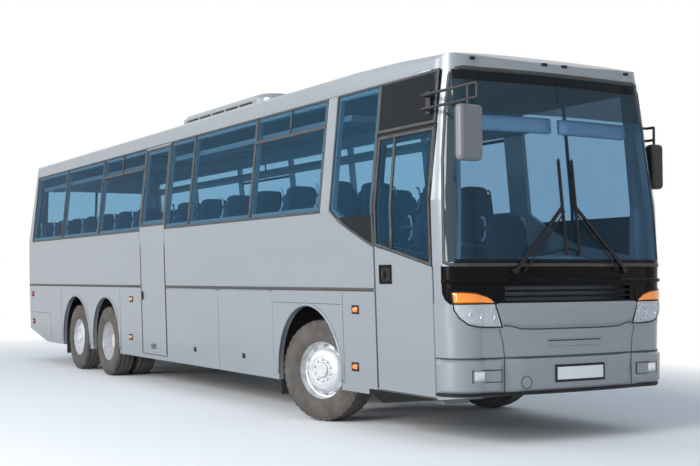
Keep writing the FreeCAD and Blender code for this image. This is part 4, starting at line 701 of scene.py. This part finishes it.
amber = Finish("amber_lens")
cell = amber.node("ShaderNodeTexVoronoi", {"feature": "DISTANCE_TO_EDGE"},
                  {"Vector": amber.place, "Scale": 90.0})
amber.put(Base_Color=amber.mix(amber.step(cell, 0, 0.12), (0.60, 0.12, 0.001), (0.85, 0.22, 0.002)),
          Roughness=0.12, Coat_Weight=1.0, Emission_Color=(0.9, 0.25, 0.01), Emission_Strength=0.25)
red = Finish("red_lens")
red.put(Base_Color=red.mix(red.step(red.noise(60.0), 0.4, 0.6), (0.42, 0.012, 0.010), (0.55, 0.02, 0.014)),
        Roughness=0.12, Coat_Weight=1.0)
amber_spots = [(4.890, 1.142), (4.857, 0.596), (-1.42, 1.151), (-1.47, 0.615)]
red_spots = [(-6.62, 1.171), (-6.59, 0.687)]
for label, view in SIDES:
    for word, finish, spots in (("amber", amber, amber_spots), ("red", red, red_spots)):
        lenses = [tile("lens", view, (x - 0.045, z - 0.026), (x + 0.045, z + 0.026), 0.022, 0.004, 8, 6, 0.2)
                  for x, z in spots]
        fit(finish, join("side_markers_%s_%s" % (word, label), lenses))
    frames = [border("frame", view, (x - 0.054, z - 0.034), (x + 0.054, z + 0.034), 0.016, 0.010, 0.3)
              for x, z in amber_spots + red_spots]
    fit(satin, join("marker_frames_" + label, frames))

FLAP_HANDLES = {"flap_right_rear": (right, 0.88), "flap_right_front": (right, 2.32),
                "flap_left_rear": (left, -1.05), "flap_left_middle": (left, 0.88),
                "flap_left_front": (left, 2.32)}
for flap_name, (view, x) in FLAP_HANDLES.items():
    fit(satin,
        tile("handle_" + flap_name, view, (x - 0.045, 0.53), (x + 0.045, 0.59), 0.008, 0.003, 6, 5, 0.2),
        body=flap_name)

# ------------------------------------------------------------------ door trims
# Rubber frames round both leaves; on the front one an upright bar between its panes and a recessed
# black handle, on the middle one a pull and a low vent.
LEAF_FOOT, FRONT_HEAD, MID_HEAD = 0.43, 2.75, 3.23
FRONT_EDGES, MID_EDGES = (5.266, 6.224), (-0.998, -0.087)
inner = [(5.300, 1.752), (5.300, 2.735), (6.196, 2.735), (6.196, 1.555)]
door_parts = [strip("frame", right, inner, 0.030, 0.006, loop=True),
              strip("bar", right, [(5.575, 1.70), (5.575, 2.72)], 0.038, 0.010)]
door_parts += [strip("edge", right, [(x, LEAF_FOOT), (x, FRONT_HEAD)], 0.018, 0.005, pitch=0.4)
               for x in FRONT_EDGES]
fit(seal, join("door_front_seals", door_parts), body="leaf_front")
fit(black,
    border("door_front_handle_rim", right, (5.365, 1.40), (5.55, 1.55), 0.026, 0.010, 0.2), body="leaf_front")
fit(satin,
    tile("door_front_handle", right, (5.40, 1.425), (5.46, 1.525), 0.022, 0.004, 6, 6, 0.2),
    tile("door_front_recess", right, (5.37, 1.405), (5.545, 1.545), 0.0015, 0.003, 4, 4), body="leaf_front")
mid_parts = [border("frame", right, (-0.965, 2.165), (-0.12, 3.205), 0.034, 0.006)]
mid_parts += [strip("edge", right, [(x, LEAF_FOOT), (x, MID_HEAD)], 0.018, 0.005, pitch=0.4)
              for x in MID_EDGES]
fit(seal, join("door_mid_seals", mid_parts), body="leaf_mid")
vent = [strip("slat", right, [(-0.66, z), (-0.48, z)], 0.010, 0.005, pitch=0.3)
        for z in (0.500, 0.518, 0.536, 0.554)]
fit(satin,
    tile("door_mid_handle", right, (-0.965, 1.15), (-0.915, 1.27), 0.016, 0.004, 6, 6, 0.2),
    join("door_mid_vent", vent), body="leaf_mid")

# ------------------------------------------------------------------ nose
# Glass-fibre nose: a black wiper shelf, a silver centre panel that dips between the lamps, and a
# three-part bumper that swells under a fold, with a black lip, a tow eye's cap and a blank plate.
shelf = strip("wiper_shelf", nose, [(y, 1.412) for y in np.linspace(-1.163, 1.163, 33)], 0.036, 0.022)
fit(black, shelf)

FOOT_EDGE = ((1.120, 1.216), (1.150, 1.255), (1.166, 1.31), (1.170, 1.42), (1.170, 1.555))
for side, label in HANDS:
    foot = patch("pillar_foot_" + label, nose, [(side * 1.229, 1.216), (side * 1.229, 1.555)],
                 [(side * t, z) for t, z in FOOT_EDGE], 0.003, 0.003, 16, 6)
    fit(silver, foot)
    fit(black, tile("lamp_mask_" + label, face, (side * 0.775, 1.216),
                    (side * 1.195, 1.345), 0.003, 0.003, 16, 6))
    fit(silver, tile("lamp_nest_" + label, face, (side * 0.725, 1.012),
                     (side * 1.19, 1.214), 0.004, 0.003, 16, 6))

BUMPER_LOW, FOLD, ROUND, SWELL = 0.462, 0.752, 1.2295, 0.028
for label, low_y, high_y, count in (("right", -ROUND, -0.722, 9), ("middle", -0.716, 0.716, 13),
                                    ("left", 0.722, ROUND, 9)):
    span = np.linspace(low_y, high_y, count)
    cover = patch("bumper_cover_" + label, nose, [(y, BUMPER_LOW) for y in span], [(y, FOLD) for y in span],
                  SWELL, 0.004, 24, 12, 0.10)
    fit(silver, cover)
seams = [strip("fold", nose, [(y, FOLD + 0.007) for y in np.linspace(-ROUND, ROUND, 61)], 0.010, 0.010)]
for side in (-1, 1):
    seams.append(strip("seam", nose, [(side * 0.719, 0.45), (side * 0.719, FOLD), (side * 0.735, 0.90),
                                      (side * 0.765, 1.00)], 0.007, 0.003))
fit(joint_line, join("bumper_seams", seams))
fit(satin, strip("bumper_lip", nose, [(y, 0.452) for y in np.linspace(-ROUND, ROUND, 61)], 0.030, 0.016))

dip = [(-0.745, 1.036), (-0.66, 1.030), (-0.55, 1.004), (-0.393, 0.999), (0.0, 0.999), (0.393, 0.999),
       (0.55, 1.004), (0.66, 1.030), (0.745, 1.036)]
brow_line = [(y * 0.835 / 0.745, 1.222) for y, z in dip]
fit(silver, patch("centre_panel", nose, dip, brow_line, 0.016, 0.004, 33, 10, 0.06))
half_joint = [(0.393, 0.996), (0.55, 1.002), (0.66, 1.028), (0.745, 1.034), (0.775, 1.10), (0.80, 1.22)]
fit(joint_line,
    strip("centre_panel_joint", nose, [(-y, z) for y, z in half_joint[::-1]] + half_joint, 0.010, 0.004))
grip = [(-0.29, 0.905), (0.34, 0.905), (0.29, 0.850), (-0.25, 0.850)]
fit(silver, strip("grip_rim", nose, grip, 0.014, 0.007, loop=True))
fit(joint_line, strip("grip_shade", nose, [(-0.27, 0.893), (0.325, 0.893)], 0.010, 0.003))

plate_white = mottled("plate_white", (8.0,), (0.72, 0.72, 0.71), (0.78, 0.78, 0.77), Roughness=0.35)


def bulged(y, z):
    """The bumper cover's face: the nose moved out by the cover's swell."""
    place, normal = nose(y, z)
    return place + normal * SWELL, normal


def circle(y, z, radius, count):
    """Points round a circle, the first not repeated: y + radius cos t, z + radius sin t."""
    turns = np.linspace(0, 2 * math.pi, count)[:-1]
    return [(y + radius * math.cos(t), z + radius * math.sin(t)) for t in turns]


fit(plate_white, tile("number_plate_front", bulged, (-0.205, 0.556), (0.315, 0.664), 0.008, 0.004, 6, 4))
fit(satin, border("number_plate_frame", bulged, (-0.217, 0.544), (0.327, 0.676), 0.020, 0.011, 0.3))
TOW_Y, TOW_Z = -0.52, 0.545
fit(joint_line,
    strip("tow_cap_joint", bulged, circle(TOW_Y, TOW_Z, 0.052, 33), 0.006, 0.003, pitch=0.02, loop=True))

# ------------------------------------------------------------------ lamps
# Wrap-round units under clear covers: an amber wedge over a headlamp with two reflectors; fog lamps
# in pockets of the bumper; four marker lamps on the brow.
chrome = Finish("lamp_reflector")
chrome.put(Base_Color=chrome.mix(chrome.noise(9.0), (0.50, 0.53, 0.56), (0.80, 0.83, 0.86)), Metallic=0.9,
           Roughness=0.16, Normal=chrome.bump(chrome.noise(38.0, 2.0, 0.5, (1, 3, 1)), 0.35, 0.004))
cover_glass = Finish("clear_cover")
clear_pass = cover_glass.node("ShaderNodeBsdfTransparent", {}, {"Color": (0.93, 0.95, 0.96)})
cover_glass.put(Base_Color=(0.62, 0.66, 0.70), Roughness=0.05, Coat_Weight=0.5)
cover_mix = cover_glass.node("ShaderNodeMixShader", {}, {
    0: cover_glass.step(cover_glass.noise(3.0), 0, 1, 0.70, 0.78),
    1: Wire(cover_glass, cover_glass.shader.outputs[0]), 2: clear_pass})
cover_glass.feed(cover_glass.tree.nodes["Material Output"].inputs["Surface"], cover_mix)
HEAD_LOW = ((0.742, 1.022), (0.86, 1.020), (0.97, 1.026), (1.06, 1.045), (1.125, 1.10), (1.160, 1.17))
HEAD_HIGH = ((0.806, 1.214), (0.88, 1.214), (0.96, 1.214), (1.04, 1.214), (1.11, 1.214), (1.172, 1.214))
TURN_LOW = ((0.800, 1.224), (0.89, 1.224), (0.98, 1.224), (1.08, 1.224), (1.178, 1.224))
TURN_HIGH = ((0.812, 1.232), (0.885, 1.282), (0.985, 1.312), (1.08, 1.322), (1.178, 1.322))
for side, label in HANDS:
    head_low, head_high, turn_low, turn_high = [[(side * y, z) for y, z in line]
                                                for line in (HEAD_LOW, HEAD_HIGH, TURN_LOW, TURN_HIGH)]
    fit(chrome, patch("headlamp_pot_" + label, face, head_low, head_high, 0.006, 0.004, 20, 10))
    fit(cover_glass,
        patch("headlamp_cover_" + label, face, head_low, head_high, 0.026, -0.007, 20, 10, 0.12))
    fit(amber, patch("turn_lamp_" + label, face, turn_low, turn_high, 0.022, 0.004, 20, 8, 0.12))
    fit(satin,
        strip("lamp_rim_" + label, face, head_low + turn_high[::-1], 0.012, 0.012, pitch=0.05, loop=True))
    rings = []
    for y, radius in ((0.875, 0.062), (1.000, 0.055)):
        route = [(side * a, b) for a, b in circle(y, 1.118, radius, 25)]
        rings.append(strip("ring", face, route, 0.012, 0.016, pitch=0.02, loop=True))
    fit(chrome, join("lamp_rings_" + label, rings))
    pocket = (side * 0.762, 0.560), (side * 1.000, 0.660)
    fit(joint_line, border("fog_pocket_rim_" + label, bulged, *pocket, 0.010, 0.004))
    fit(silver, tile("fog_pocket_" + label, bulged, *pocket, 0.003, 0.004, 8, 6))
    fit(chrome,
        tile("fog_lamp_" + label, bulged, (side * 0.918, 0.572), (side * 0.990, 0.650),
             0.012, 0.004, 8, 8, 0.2))

brow_lamps = [tile("lamp", nose, (y - 0.035, 3.335), (y + 0.035, 3.365), 0.020, 0.004, 6, 5, 0.2)
              for y in (-0.88, -0.115, 0.115, 0.90)]
fit(satin, join("brow_lamps", brow_lamps))

# ------------------------------------------------------------------ seats
# Reclining touring seats in dark blue cloth on grey pedestals, with pale grab handles at the aisle. Each
# stands where the frame has its plain block, and is foam under cloth.


def loose_boxes(node):
    """Lowest and highest corners of a node's separate solids, found by walking its faces."""
    mesh = node.data
    keys = [tuple(round(c, 4) for c in vertex.co) for vertex in mesh.vertices]
    owner = {key: key for key in keys}

    def root(key):
        """The key that stands for a whole group."""
        while owner[key] != key:
            owner[key] = owner[owner[key]]
            key = owner[key]
        return key

    for polygon in mesh.polygons:
        first = root(keys[polygon.vertices[0]])
        for index in polygon.vertices[1:]:
            owner[root(keys[index])] = first
            first = root(first)
    groups = {}
    for key in set(keys):
        groups.setdefault(root(key), []).append(key)
    corners = [(group.min(0).tolist(), group.max(0).tolist()) for group in map(np.array, groups.values())]
    return sorted(corners)


def pillow(name, centre, half, power=(0.35, 0.45), lean=0.0, crease=0.0):
    """A stuffed block: a superellipsoid of half sizes x, y, z about a centre, leaning back by an angle in
    radians about y, with shallow vertical flutes of a given depth."""
    def place(u, v):
        turn, rise = 2 * np.pi * u, np.pi * (v - 0.5)

        def shaped(value, exponent):
            """The value's sign times its size to the power of the exponent."""
            return np.sign(value) * np.abs(value) ** exponent

        x = half[0] * shaped(np.cos(rise), power[1]) * shaped(np.cos(turn), power[0])
        y = half[1] * shaped(np.cos(rise), power[1]) * shaped(np.sin(turn), power[0])
        z = half[2] * shaped(np.sin(rise), power[1])
        x = x + crease * np.cos(y / half[1] * 2.5 * np.pi) * np.sign(x)
        return (centre[0] + x * math.cos(lean) - z * math.sin(lean), centre[1] + y,
                centre[2] + x * math.sin(lean) + z * math.cos(lean))

    return surface(name, place, 32, 17, wrap=True)


def tube(name, path, radius, sides=10):
    """A round bar along a list of points."""
    path = np.array(path, float)
    ahead = np.gradient(path, axis=0)
    ahead /= np.linalg.norm(ahead, axis=1)[:, None]
    guide = np.array([0.0, 0.0, 1.0]) if abs(ahead[0][2]) < 0.9 else np.array([1.0, 0.0, 0.0])
    sideways = np.cross(ahead, guide)
    sideways /= np.maximum(np.linalg.norm(sideways, axis=1), 1e-6)[:, None]
    upward = np.cross(sideways, ahead)
    count = len(path)

    def place(u, v):
        index = np.round(v * (count - 1)).astype(int)
        return [path[index, k] + radius * (np.cos(2 * np.pi * u) * sideways[index, k] +
                                           np.sin(2 * np.pi * u) * upward[index, k]) for k in range(3)]

    return surface(name, place, sides, count, wrap=True)


def box_mesh(name, low, high, bevel=0.0):
    """A box between two corners, its edges cut back by a bevel."""
    low, high = np.array(low, float), np.array(high, float)
    points, faces = [], []
    steps = [(low[k], low[k] + bevel, high[k] - bevel, high[k]) for k in range(3)]
    for axis in range(3):
        for side in (0, 3):
            a, b = (axis + 1) % 3, (axis + 2) % 3
            ring = []
            for i, j in ((1, 1), (2, 1), (2, 2), (1, 2)):
                point = [0.0] * 3
                point[axis], point[a], point[b] = steps[axis][side], steps[a][i], steps[b][j]
                ring.append(len(points))
                points.append(point)
            faces.append(ring if side else ring[::-1])
    if bevel:
        hull = bpy.data.meshes.new("hull")
        work = bmesh.new()
        for point in points:
            work.verts.new(point)
        bmesh.ops.convex_hull(work, input=work.verts)
        work.to_mesh(hull)
        work.free()
        points = [tuple(vertex.co) for vertex in hull.vertices]
        faces = [tuple(polygon.vertices) for polygon in hull.polygons]
        bpy.data.meshes.remove(hull)
    else:
        faces = [tuple(face) for face in faces]
    made = solid(name, points, faces)
    made.data.polygons.foreach_set("use_smooth", np.zeros(len(made.data.polygons), bool))
    return made


cloth = Finish("seat_cloth")
weave = cloth.noise(220.0, 2.0)
cloth.put(Base_Color=cloth.mix(cloth.step(weave, 0.4, 0.6), (0.020, 0.032, 0.062), (0.035, 0.050, 0.085)),
          Roughness=0.95, Normal=cloth.bump(weave, 0.3, 0.001))
trim_grey = mottled("interior_grey", (30.0,), (0.16, 0.17, 0.18), (0.20, 0.21, 0.22), Roughness=0.6)
handle = Finish("handle_pale")
handle.put(Base_Color=(0.55, 0.58, 0.62), Roughness=0.4)
SEAT_WIDE, SIT_UP, BACK_DEEP, LEAN = 0.5, 0.43, 0.42, 0.145
cushions, frames, grips = [], [], []
for low, high in loose_boxes(nodes["seats"]):
    places = max(1, round((high[1] - low[1]) / SEAT_WIDE))
    width = (high[1] - low[1]) / places
    sit, back_x = low[2] + SIT_UP, high[0] - BACK_DEEP
    tall, half = (high[2] - sit) / 2, width / 2 - 0.012
    for k in range(places):
        y = low[1] + width * (k + 0.5)
        cushions += [pillow("cushion", (high[0] - 0.23, y, sit - 0.055), (0.23, half, 0.068), (0.4, 0.5)),
                     pillow("back", (back_x - 0.112, y, sit + tall - 0.02), (0.058, half, tall - 0.06),
                            (0.5, 0.3), LEAN, 0.006),
                     pillow("wings", (back_x - 0.155, y, high[2] - 0.115), (0.060, half - 0.05, 0.105),
                            (0.55, 0.5), LEAN)]
    frames.append(box_mesh("shell", (high[0] - 0.44, low[1] + 0.02, sit - 0.16),
                           (high[0] - 0.02, high[1] - 0.02, sit - 0.10), 0.012))
    for y0, y1 in ((low[1] + 0.10, low[1] + 0.16), (high[1] - 0.16, high[1] - 0.10)):
        frames.append(box_mesh("leg", (high[0] - 0.33, y0, low[2]), (high[0] - 0.17, y1, sit - 0.14), 0.008))
    for y in (low[1] + 0.004, high[1] - 0.004):
        arc = [(back_x - 0.20 + 0.05 * math.cos(a), y, high[2] - 0.16 + 0.12 * math.sin(a))
               for a in np.linspace(-1.9, 1.9, 13)]
        grips.append(tube("grip", arc, 0.011))
        frames.append(box_mesh("rest", (back_x - 0.06, y - 0.018, sit + 0.17),
                               (back_x + 0.24, y + 0.018, sit + 0.215), 0.01))
for group, finish in ((cushions, cloth), (frames, trim_grey), (grips, handle)):
    for piece in group:
        dress(finish, piece)
seat_cloth = join("seat_cushions", cushions)
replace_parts(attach(seat_cloth, "coach_body"), "seats")
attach(join("seat_frames", frames + grips), "coach_body")

dress(trim_grey, *[nodes[name] for name in ("luggage_racks", "deck", "cab_floor", "mid_steps")])

# ------------------------------------------------------------------ cab
# Pale grey moulded dashboard with raised domes, a hooded instrument panel and switches, a steering wheel
# in black leather, blinds with pale hems behind the screen's top, and the saloon's grey lined ceiling.
moulding = Finish("cab_moulding")
moulding.put(Base_Color=moulding.mix(moulding.noise(9.0, 4.0), (0.36, 0.40, 0.42), (0.42, 0.46, 0.48)),
             Roughness=0.6, Normal=moulding.bump(moulding.noise(220.0, 2.0), 0.25, 0.001))
dress(moulding, nodes["dashboard"])
wheel_skin = mottled("steering_leather", (60.0,), (0.016, 0.016, 0.017), (0.026, 0.026, 0.027),
                     Roughness=0.5)
dress(wheel_skin, nodes["steering_wheel"])
DASH_X, DRIVER_Y, DASH_Z = 5.93, 0.62, 1.50


def dome(front, run, middle, half, rise):
    """A raised cover: its height is rise times the root of one sine across and another sine along."""
    def place(u, v):
        lift = np.sin(np.pi * u) ** 0.5 * np.sin(np.pi * np.clip(0.10 + 0.90 * v, 0, 1))
        return front + run * v, middle + half * (2 * u - 1), 1.485 + rise * lift

    return surface("dash_dome", place, 41, 16)


def hood_place(u, v):
    """Half a tube over the dials, its height falling from 135 to 75 mm toward the screen."""
    return (DASH_X - 0.13 + 0.26 * v, DRIVER_Y + 0.27 * np.cos(np.pi * u),
            DASH_Z - 0.004 + (0.135 - 0.06 * v) * np.sin(np.pi * u))


domes = [dome(5.90, 0.36, 0.24, 0.74, 0.16), dome(6.08, 0.19, -0.74, 0.23, 0.09)]
fit(moulding, join("dash_domes", domes))
hood = surface("instrument_hood", hood_place, 25, 8)
DASH_FOOT = DASH_Z - 0.002
dials = [box_mesh("dial_panel", (DASH_X + 0.02, DRIVER_Y - 0.22, DASH_FOOT),
                  (DASH_X + 0.05, DRIVER_Y + 0.22, DASH_Z + 0.085), 0.006)]
dials += [box_mesh("switch", (DASH_X - 0.10, 0.30 + 0.045 * k, DASH_FOOT),
                   (DASH_X - 0.07, 0.33 + 0.045 * k, DASH_Z + 0.008), 0.002) for k in range(3)]
dials += [box_mesh("radio", (DASH_X - 0.09, 0.90, DASH_FOOT), (DASH_X + 0.09, 0.99, DASH_Z + 0.05), 0.006)]
fit(moulding, join("instrument_panel", dials))
dress(moulding, hood)
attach(hood, "coach_body")
roll_cloth = Finish("blind_cloth")
slat = roll_cloth.node("ShaderNodeTexWave", {"bands_direction": "Z"},
                       {"Vector": roll_cloth.place, "Scale": 22.0})
roll_cloth.put(Base_Color=roll_cloth.mix(slat, (0.66, 0.74, 0.76), (0.74, 0.82, 0.84)), Roughness=0.85)
blinds = [tile("blind", nose, (y0, 2.74), (y1, 2.87), -0.05, 0.106, 10, 6)
          for y0, y1 in ((-0.88, -0.06), (0.06, 0.88))]
fit(roll_cloth, join("roller_blinds", blinds))
lining = mottled("ceiling_lining", (40.0,), (0.13, 0.135, 0.14), (0.17, 0.175, 0.18), Roughness=0.9)
ceiling = [tile("lining", crown, (x0, -0.92), (x1, 0.92), -0.059, 0.066, 14, 12)
           for x0, x1 in ((-6.45, -3.72), (-2.88, 3.48), (4.32, 6.14))]
fit(lining, join("ceiling_lining", ceiling))

# ------------------------------------------------------------------ mirrors and wipers
# Mirrors on black tubes, the door side's with a grey outer shell; wipers on which a second rod, a
# spring and the rubber blades lie over the frame's own arms.
SHELL_REAR, SHELL_TOP = 6.785, 2.862
shell_grey = Finish("mirror_shell")
in_head = (shell_grey.axis("X") > SHELL_REAR) * (shell_grey.axis("Z") < SHELL_TOP)
in_head = in_head * (shell_grey.axis("Y") < 0)
shell_grey.put(Base_Color=shell_grey.mix(in_head, (0.012, 0.012, 0.013), (0.150, 0.160, 0.172)),
               Roughness=shell_grey.step(in_head, 0, 1, 0.5, 0.32))
dress(shell_grey, nodes["mirrors"])
silvering = mottled("mirror_glass", (2.0,), (0.75, 0.78, 0.80), (0.80, 0.82, 0.84), Metallic=1.0,
                    Roughness=0.03)
HEADS = {"right": (6.73, -1.25, 0.10, 2.44, 2.82), "left": (6.23, 1.295, 0.058, 2.315, 2.675)}
for label, (x, y, half, low, high) in HEADS.items():
    pane = box_mesh("mirror_pane_" + label, (x - 0.004, y - half, low), (x + 0.004, y + half, high), 0.003)
    fit(silvering, pane)


def held(y, z):
    """A place above the nose where the wipers' rods lie."""
    place, normal = face(y, z)
    return place + normal * 0.030


rods = []
for side in (-1, 1):
    pivot, knee = np.array((side * 0.53, 1.50)), np.array((side * 0.055, 2.02))
    rods.append(tube("rod", [held(*(pivot + (knee - pivot) * k)) for k in np.linspace(0, 1, 9)], 0.0075, 10))
    rods.append(tube("rubber", [held(side * 0.075, z) for z in np.linspace(1.63, 2.49, 12)], 0.0085, 8))
    rods.append(tube("spring", [held(*(np.array((side * 0.60, 1.53)) + (knee - pivot) * k))
                                for k in np.linspace(0.05, 0.35, 5)], 0.011, 10))
fit(satin, join("wiper_rods", rods))

# ------------------------------------------------------------------ roof unit
# Glass-fibre air conditioner cover with a dark air slot in segments along each side, a dark inlet in
# front and two fan grilles on top.
pod_mesh = nodes["air_conditioner"].data
pod_skin = BVHTree.FromPolygons([tuple(vertex.co) for vertex in pod_mesh.vertices],
                                [tuple(polygon.vertices) for polygon in pod_mesh.polygons])


def on_pod(start, direction):
    """The cover's point and outward normal that a ray from outside meets first."""
    place, normal, index, distance = pod_skin.ray_cast(Vector(start), Vector(direction))
    if place is None:
        raise ValueError("no pod at %s" % (start,))
    return place, (normal if normal.dot(Vector(direction)) < 0 else -normal)


SLOT_Z, INLET_Z = 3.562, 3.565
slots = []
for side in (-1, 1):
    for rear in [-0.30 + 0.42 * k for k in range(5)]:
        slots.append(strip("slot", lambda x, z: on_pod((x, side * 3, z), (0, -side, 0)),
                           [(rear, SLOT_Z), (rear + 0.36, SLOT_Z)], 0.024, 0.003))
slots.append(strip("inlet", lambda y, z: on_pod((5, y, z), (-1, 0, 0)),
                   [(y, INLET_Z) for y in np.linspace(-0.50, 0.50, 9)], 0.030, 0.003))
for middle in (0.10, 1.25):
    for radius in (0.10, 0.16, 0.22, 0.28):
        slots.append(strip("fan", lambda x, y: on_pod((x, y, 6), (0, 0, -1)), circle(middle, 0.0, radius, 37),
                           0.018, 0.006, pitch=0.05, loop=True))
fit(satin, join("pod_slots", slots))
rails = [strip("gutter", view, [(-6.60, 3.262), (6.10, 3.262)], 0.022, 0.010, pitch=0.5)
         for label, view in SIDES]
fit(silver, join("roof_gutters", rails))

# ------------------------------------------------------------------ tail
# Rear window seal, louvred engine door with a handle, lamp units in red, amber and clear, a blank
# plate, seams and a dark lower lip.
CLEAR_LOW, AMBER_LOW = 1.185, 1.395
lens_tail = Finish("tail_lens")
height = lens_tail.axis("Z")
lens_colour = lens_tail.mix(height > CLEAR_LOW, (0.62, 0.64, 0.66), (0.46, 0.012, 0.010))
lens_colour = lens_tail.mix(height > AMBER_LOW, lens_colour, (0.80, 0.24, 0.010))
ribs = lens_tail.node("ShaderNodeTexWave", {"bands_direction": "Y"},
                      {"Vector": lens_tail.place, "Scale": 26.0})
lens_tail.put(Base_Color=lens_colour, Roughness=0.12, Coat_Weight=1.0,
              Normal=lens_tail.bump(ribs, 0.25, 0.003))
dress(lens_tail, nodes["tail_lamps"])
fit(seal,
    join("rear_window_seal", [border("pane", tail, (-0.955, 2.165), (0.955, 3.075), 0.036, 0.006, 0.2)]))
rims = [border("rim", tail, (side * 0.925, low - 0.005), (side * 1.135, low + 0.205), 0.012, 0.006, 0.2)
        for side in (-1, 1) for low in (0.98, 1.19, 1.40)]
fit(satin, join("tail_lamp_rims", rims))
louvres = [strip("louvre", tail, [(-0.62, z), (0.62, z)], 0.026, 0.010, pitch=0.3)
           for z in np.linspace(1.08, 1.52, 9)]
fit(satin, join("engine_louvres", louvres), body="engine_lid")
fit(satin,
    tile("engine_door_handle", tail, (-0.09, 1.00), (0.09, 1.04), 0.020, 0.004, 8, 5, 0.2), body="engine_lid")
fit(plate_white,
    tile("number_plate_rear", tail, (-0.26, 1.66), (0.26, 1.77), 0.008, 0.003, 6, 4), body="engine_lid")
tail_seams = [strip("seam", tail, [(-1.10, 0.905), (1.10, 0.905)], 0.009, 0.003, pitch=0.1)]
tail_seams += [strip("seam", tail, [(side * 0.72, 0.62), (side * 0.72, 0.90)], 0.007, 0.003)
               for side in (-1, 1)]
fit(joint_line, join("tail_seams", tail_seams))
reflectors = [tile("lens", tail, (side * 0.98, 0.78), (side * 1.08, 0.82), 0.014, 0.004, 6, 5, 0.2)
              for side in (-1, 1)]
reflectors.append(tile("lens", tail, (-0.16, 3.115), (0.16, 3.145), 0.014, 0.004, 8, 5, 0.2))
fit(red, join("tail_reflectors", reflectors))
fit(satin, strip("tail_lip", tail, [(y, 0.625) for y in np.linspace(-1.06, 1.06, 15)], 0.030, 0.012))

# ------------------------------------------------------------------ studio
# A pale floor that fades to plain white around the coach, a soft bluish sky and three broad lamps.
FLOOR_SIDE, FADE_LONG, FADE_WIDE = 160, 90.0, 25.0
floor = surface("floor", lambda u, v: (FLOOR_SIDE * (u - 0.5), FLOOR_SIDE * (v - 0.5), 0.0), 2, 2)
paper = Finish("floor_paper")
spread = paper.axis("X") * paper.axis("X") / FADE_LONG + paper.axis("Y") * paper.axis("Y") / FADE_WIDE
seen = paper.node("ShaderNodeLightPath", {}, {}, "Is Camera Ray")
for ray in ("Is Glossy Ray", "Is Transmission Ray"):
    seen = seen.most(paper.node("ShaderNodeLightPath", {}, {}, ray))
glow = paper.node("ShaderNodeEmission", {}, {"Color": (1, 1, 1), "Strength": 1.0})
paper.put(Base_Color=(0.86, 0.86, 0.86), Roughness=0.9)
fade = paper.node("ShaderNodeMixShader", {}, {0: paper.step(spread, 0.7, 2.2) * seen, 2: glow,
                                              1: Wire(paper, paper.shader.outputs[0])})
paper.feed(paper.tree.nodes["Material Output"].inputs["Surface"], fade)
dress(paper, floor)

world = bpy.data.worlds.new("studio")
bpy.context.scene.world = world
world.use_nodes = True
tree = world.node_tree
sky, white = tree.nodes["Background"], tree.nodes.new("ShaderNodeBackground")
sky.inputs[0].default_value, sky.inputs[1].default_value = (0.74, 0.86, 1.0, 1), 0.62
white.inputs[0].default_value = (1, 1, 1, 1)
rays = tree.nodes.new("ShaderNodeLightPath")
blend = tree.nodes.new("ShaderNodeMixShader")
straight, either = tree.nodes.new("ShaderNodeMath"), tree.nodes.new("ShaderNodeMath")
straight.operation = either.operation = "MAXIMUM"
tree.links.new(rays.outputs["Is Camera Ray"], straight.inputs[0])
tree.links.new(rays.outputs["Is Glossy Ray"], straight.inputs[1])
tree.links.new(straight.outputs[0], either.inputs[0])
tree.links.new(rays.outputs["Is Transmission Ray"], either.inputs[1])
tree.links.new(either.outputs[0], blend.inputs[0])
tree.links.new(sky.outputs[0], blend.inputs[1])
tree.links.new(white.outputs[0], blend.inputs[2])
tree.links.new(blend.outputs[0], tree.nodes["World Output"].inputs[0])


def lamp(name, place, aim, power, width, height):
    """A soft rectangular lamp at a place, turned to a point."""
    data = bpy.data.lights.new(name, "AREA")
    data.shape, data.size, data.size_y, data.energy = "RECTANGLE", width, height, power
    thing = bpy.data.objects.new(name, data)
    thing.location = place
    thing.rotation_euler = (Vector(aim) - Vector(place)).to_track_quat("-Z", "Y").to_euler()
    bpy.context.scene.collection.objects.link(thing)


lamp("key", (9, -18, 8.5), (0, 0, 1.5), 3000, 9, 9)
lamp("flank", (-9, -20, 10), (-3, 0, 1.5), 1300, 12, 6)
lamp("edge", (9.5, -19, 2.6), (5, 0, 1.5), 420, 2.6, 4.8)

# ------------------------------------------------------------------ camera
EYE = (14.677, -6.904, 1.46)
YAW, PITCH, ROLL = math.radians(29.953), math.radians(2.168), math.radians(-0.268)
LENS, SENSOR = 60.97, 36.0
ahead = Vector((-math.cos(YAW) * math.cos(PITCH), math.sin(YAW) * math.cos(PITCH), math.sin(PITCH)))
across = Vector((math.sin(YAW), math.cos(YAW), 0))
above = across.cross(ahead)
right_turned = across * math.cos(ROLL) + above * math.sin(ROLL)
up_turned = above * math.cos(ROLL) - across * math.sin(ROLL)
view = bpy.data.cameras.new("view")
view.sensor_width = SENSOR
view.lens = LENS
view.shift_x, view.shift_y = -0.00143, -0.00241
view.clip_end = 200
camera = bpy.data.objects.new("view", view)
camera.matrix_world = (Matrix.Translation(EYE)
                       @ Matrix((right_turned, up_turned, -ahead)).transposed().to_4x4())
bpy.context.scene.collection.objects.link(camera)
bpy.context.scene.camera = camera
bpy.context.scene.view_settings.view_transform = "Standard"
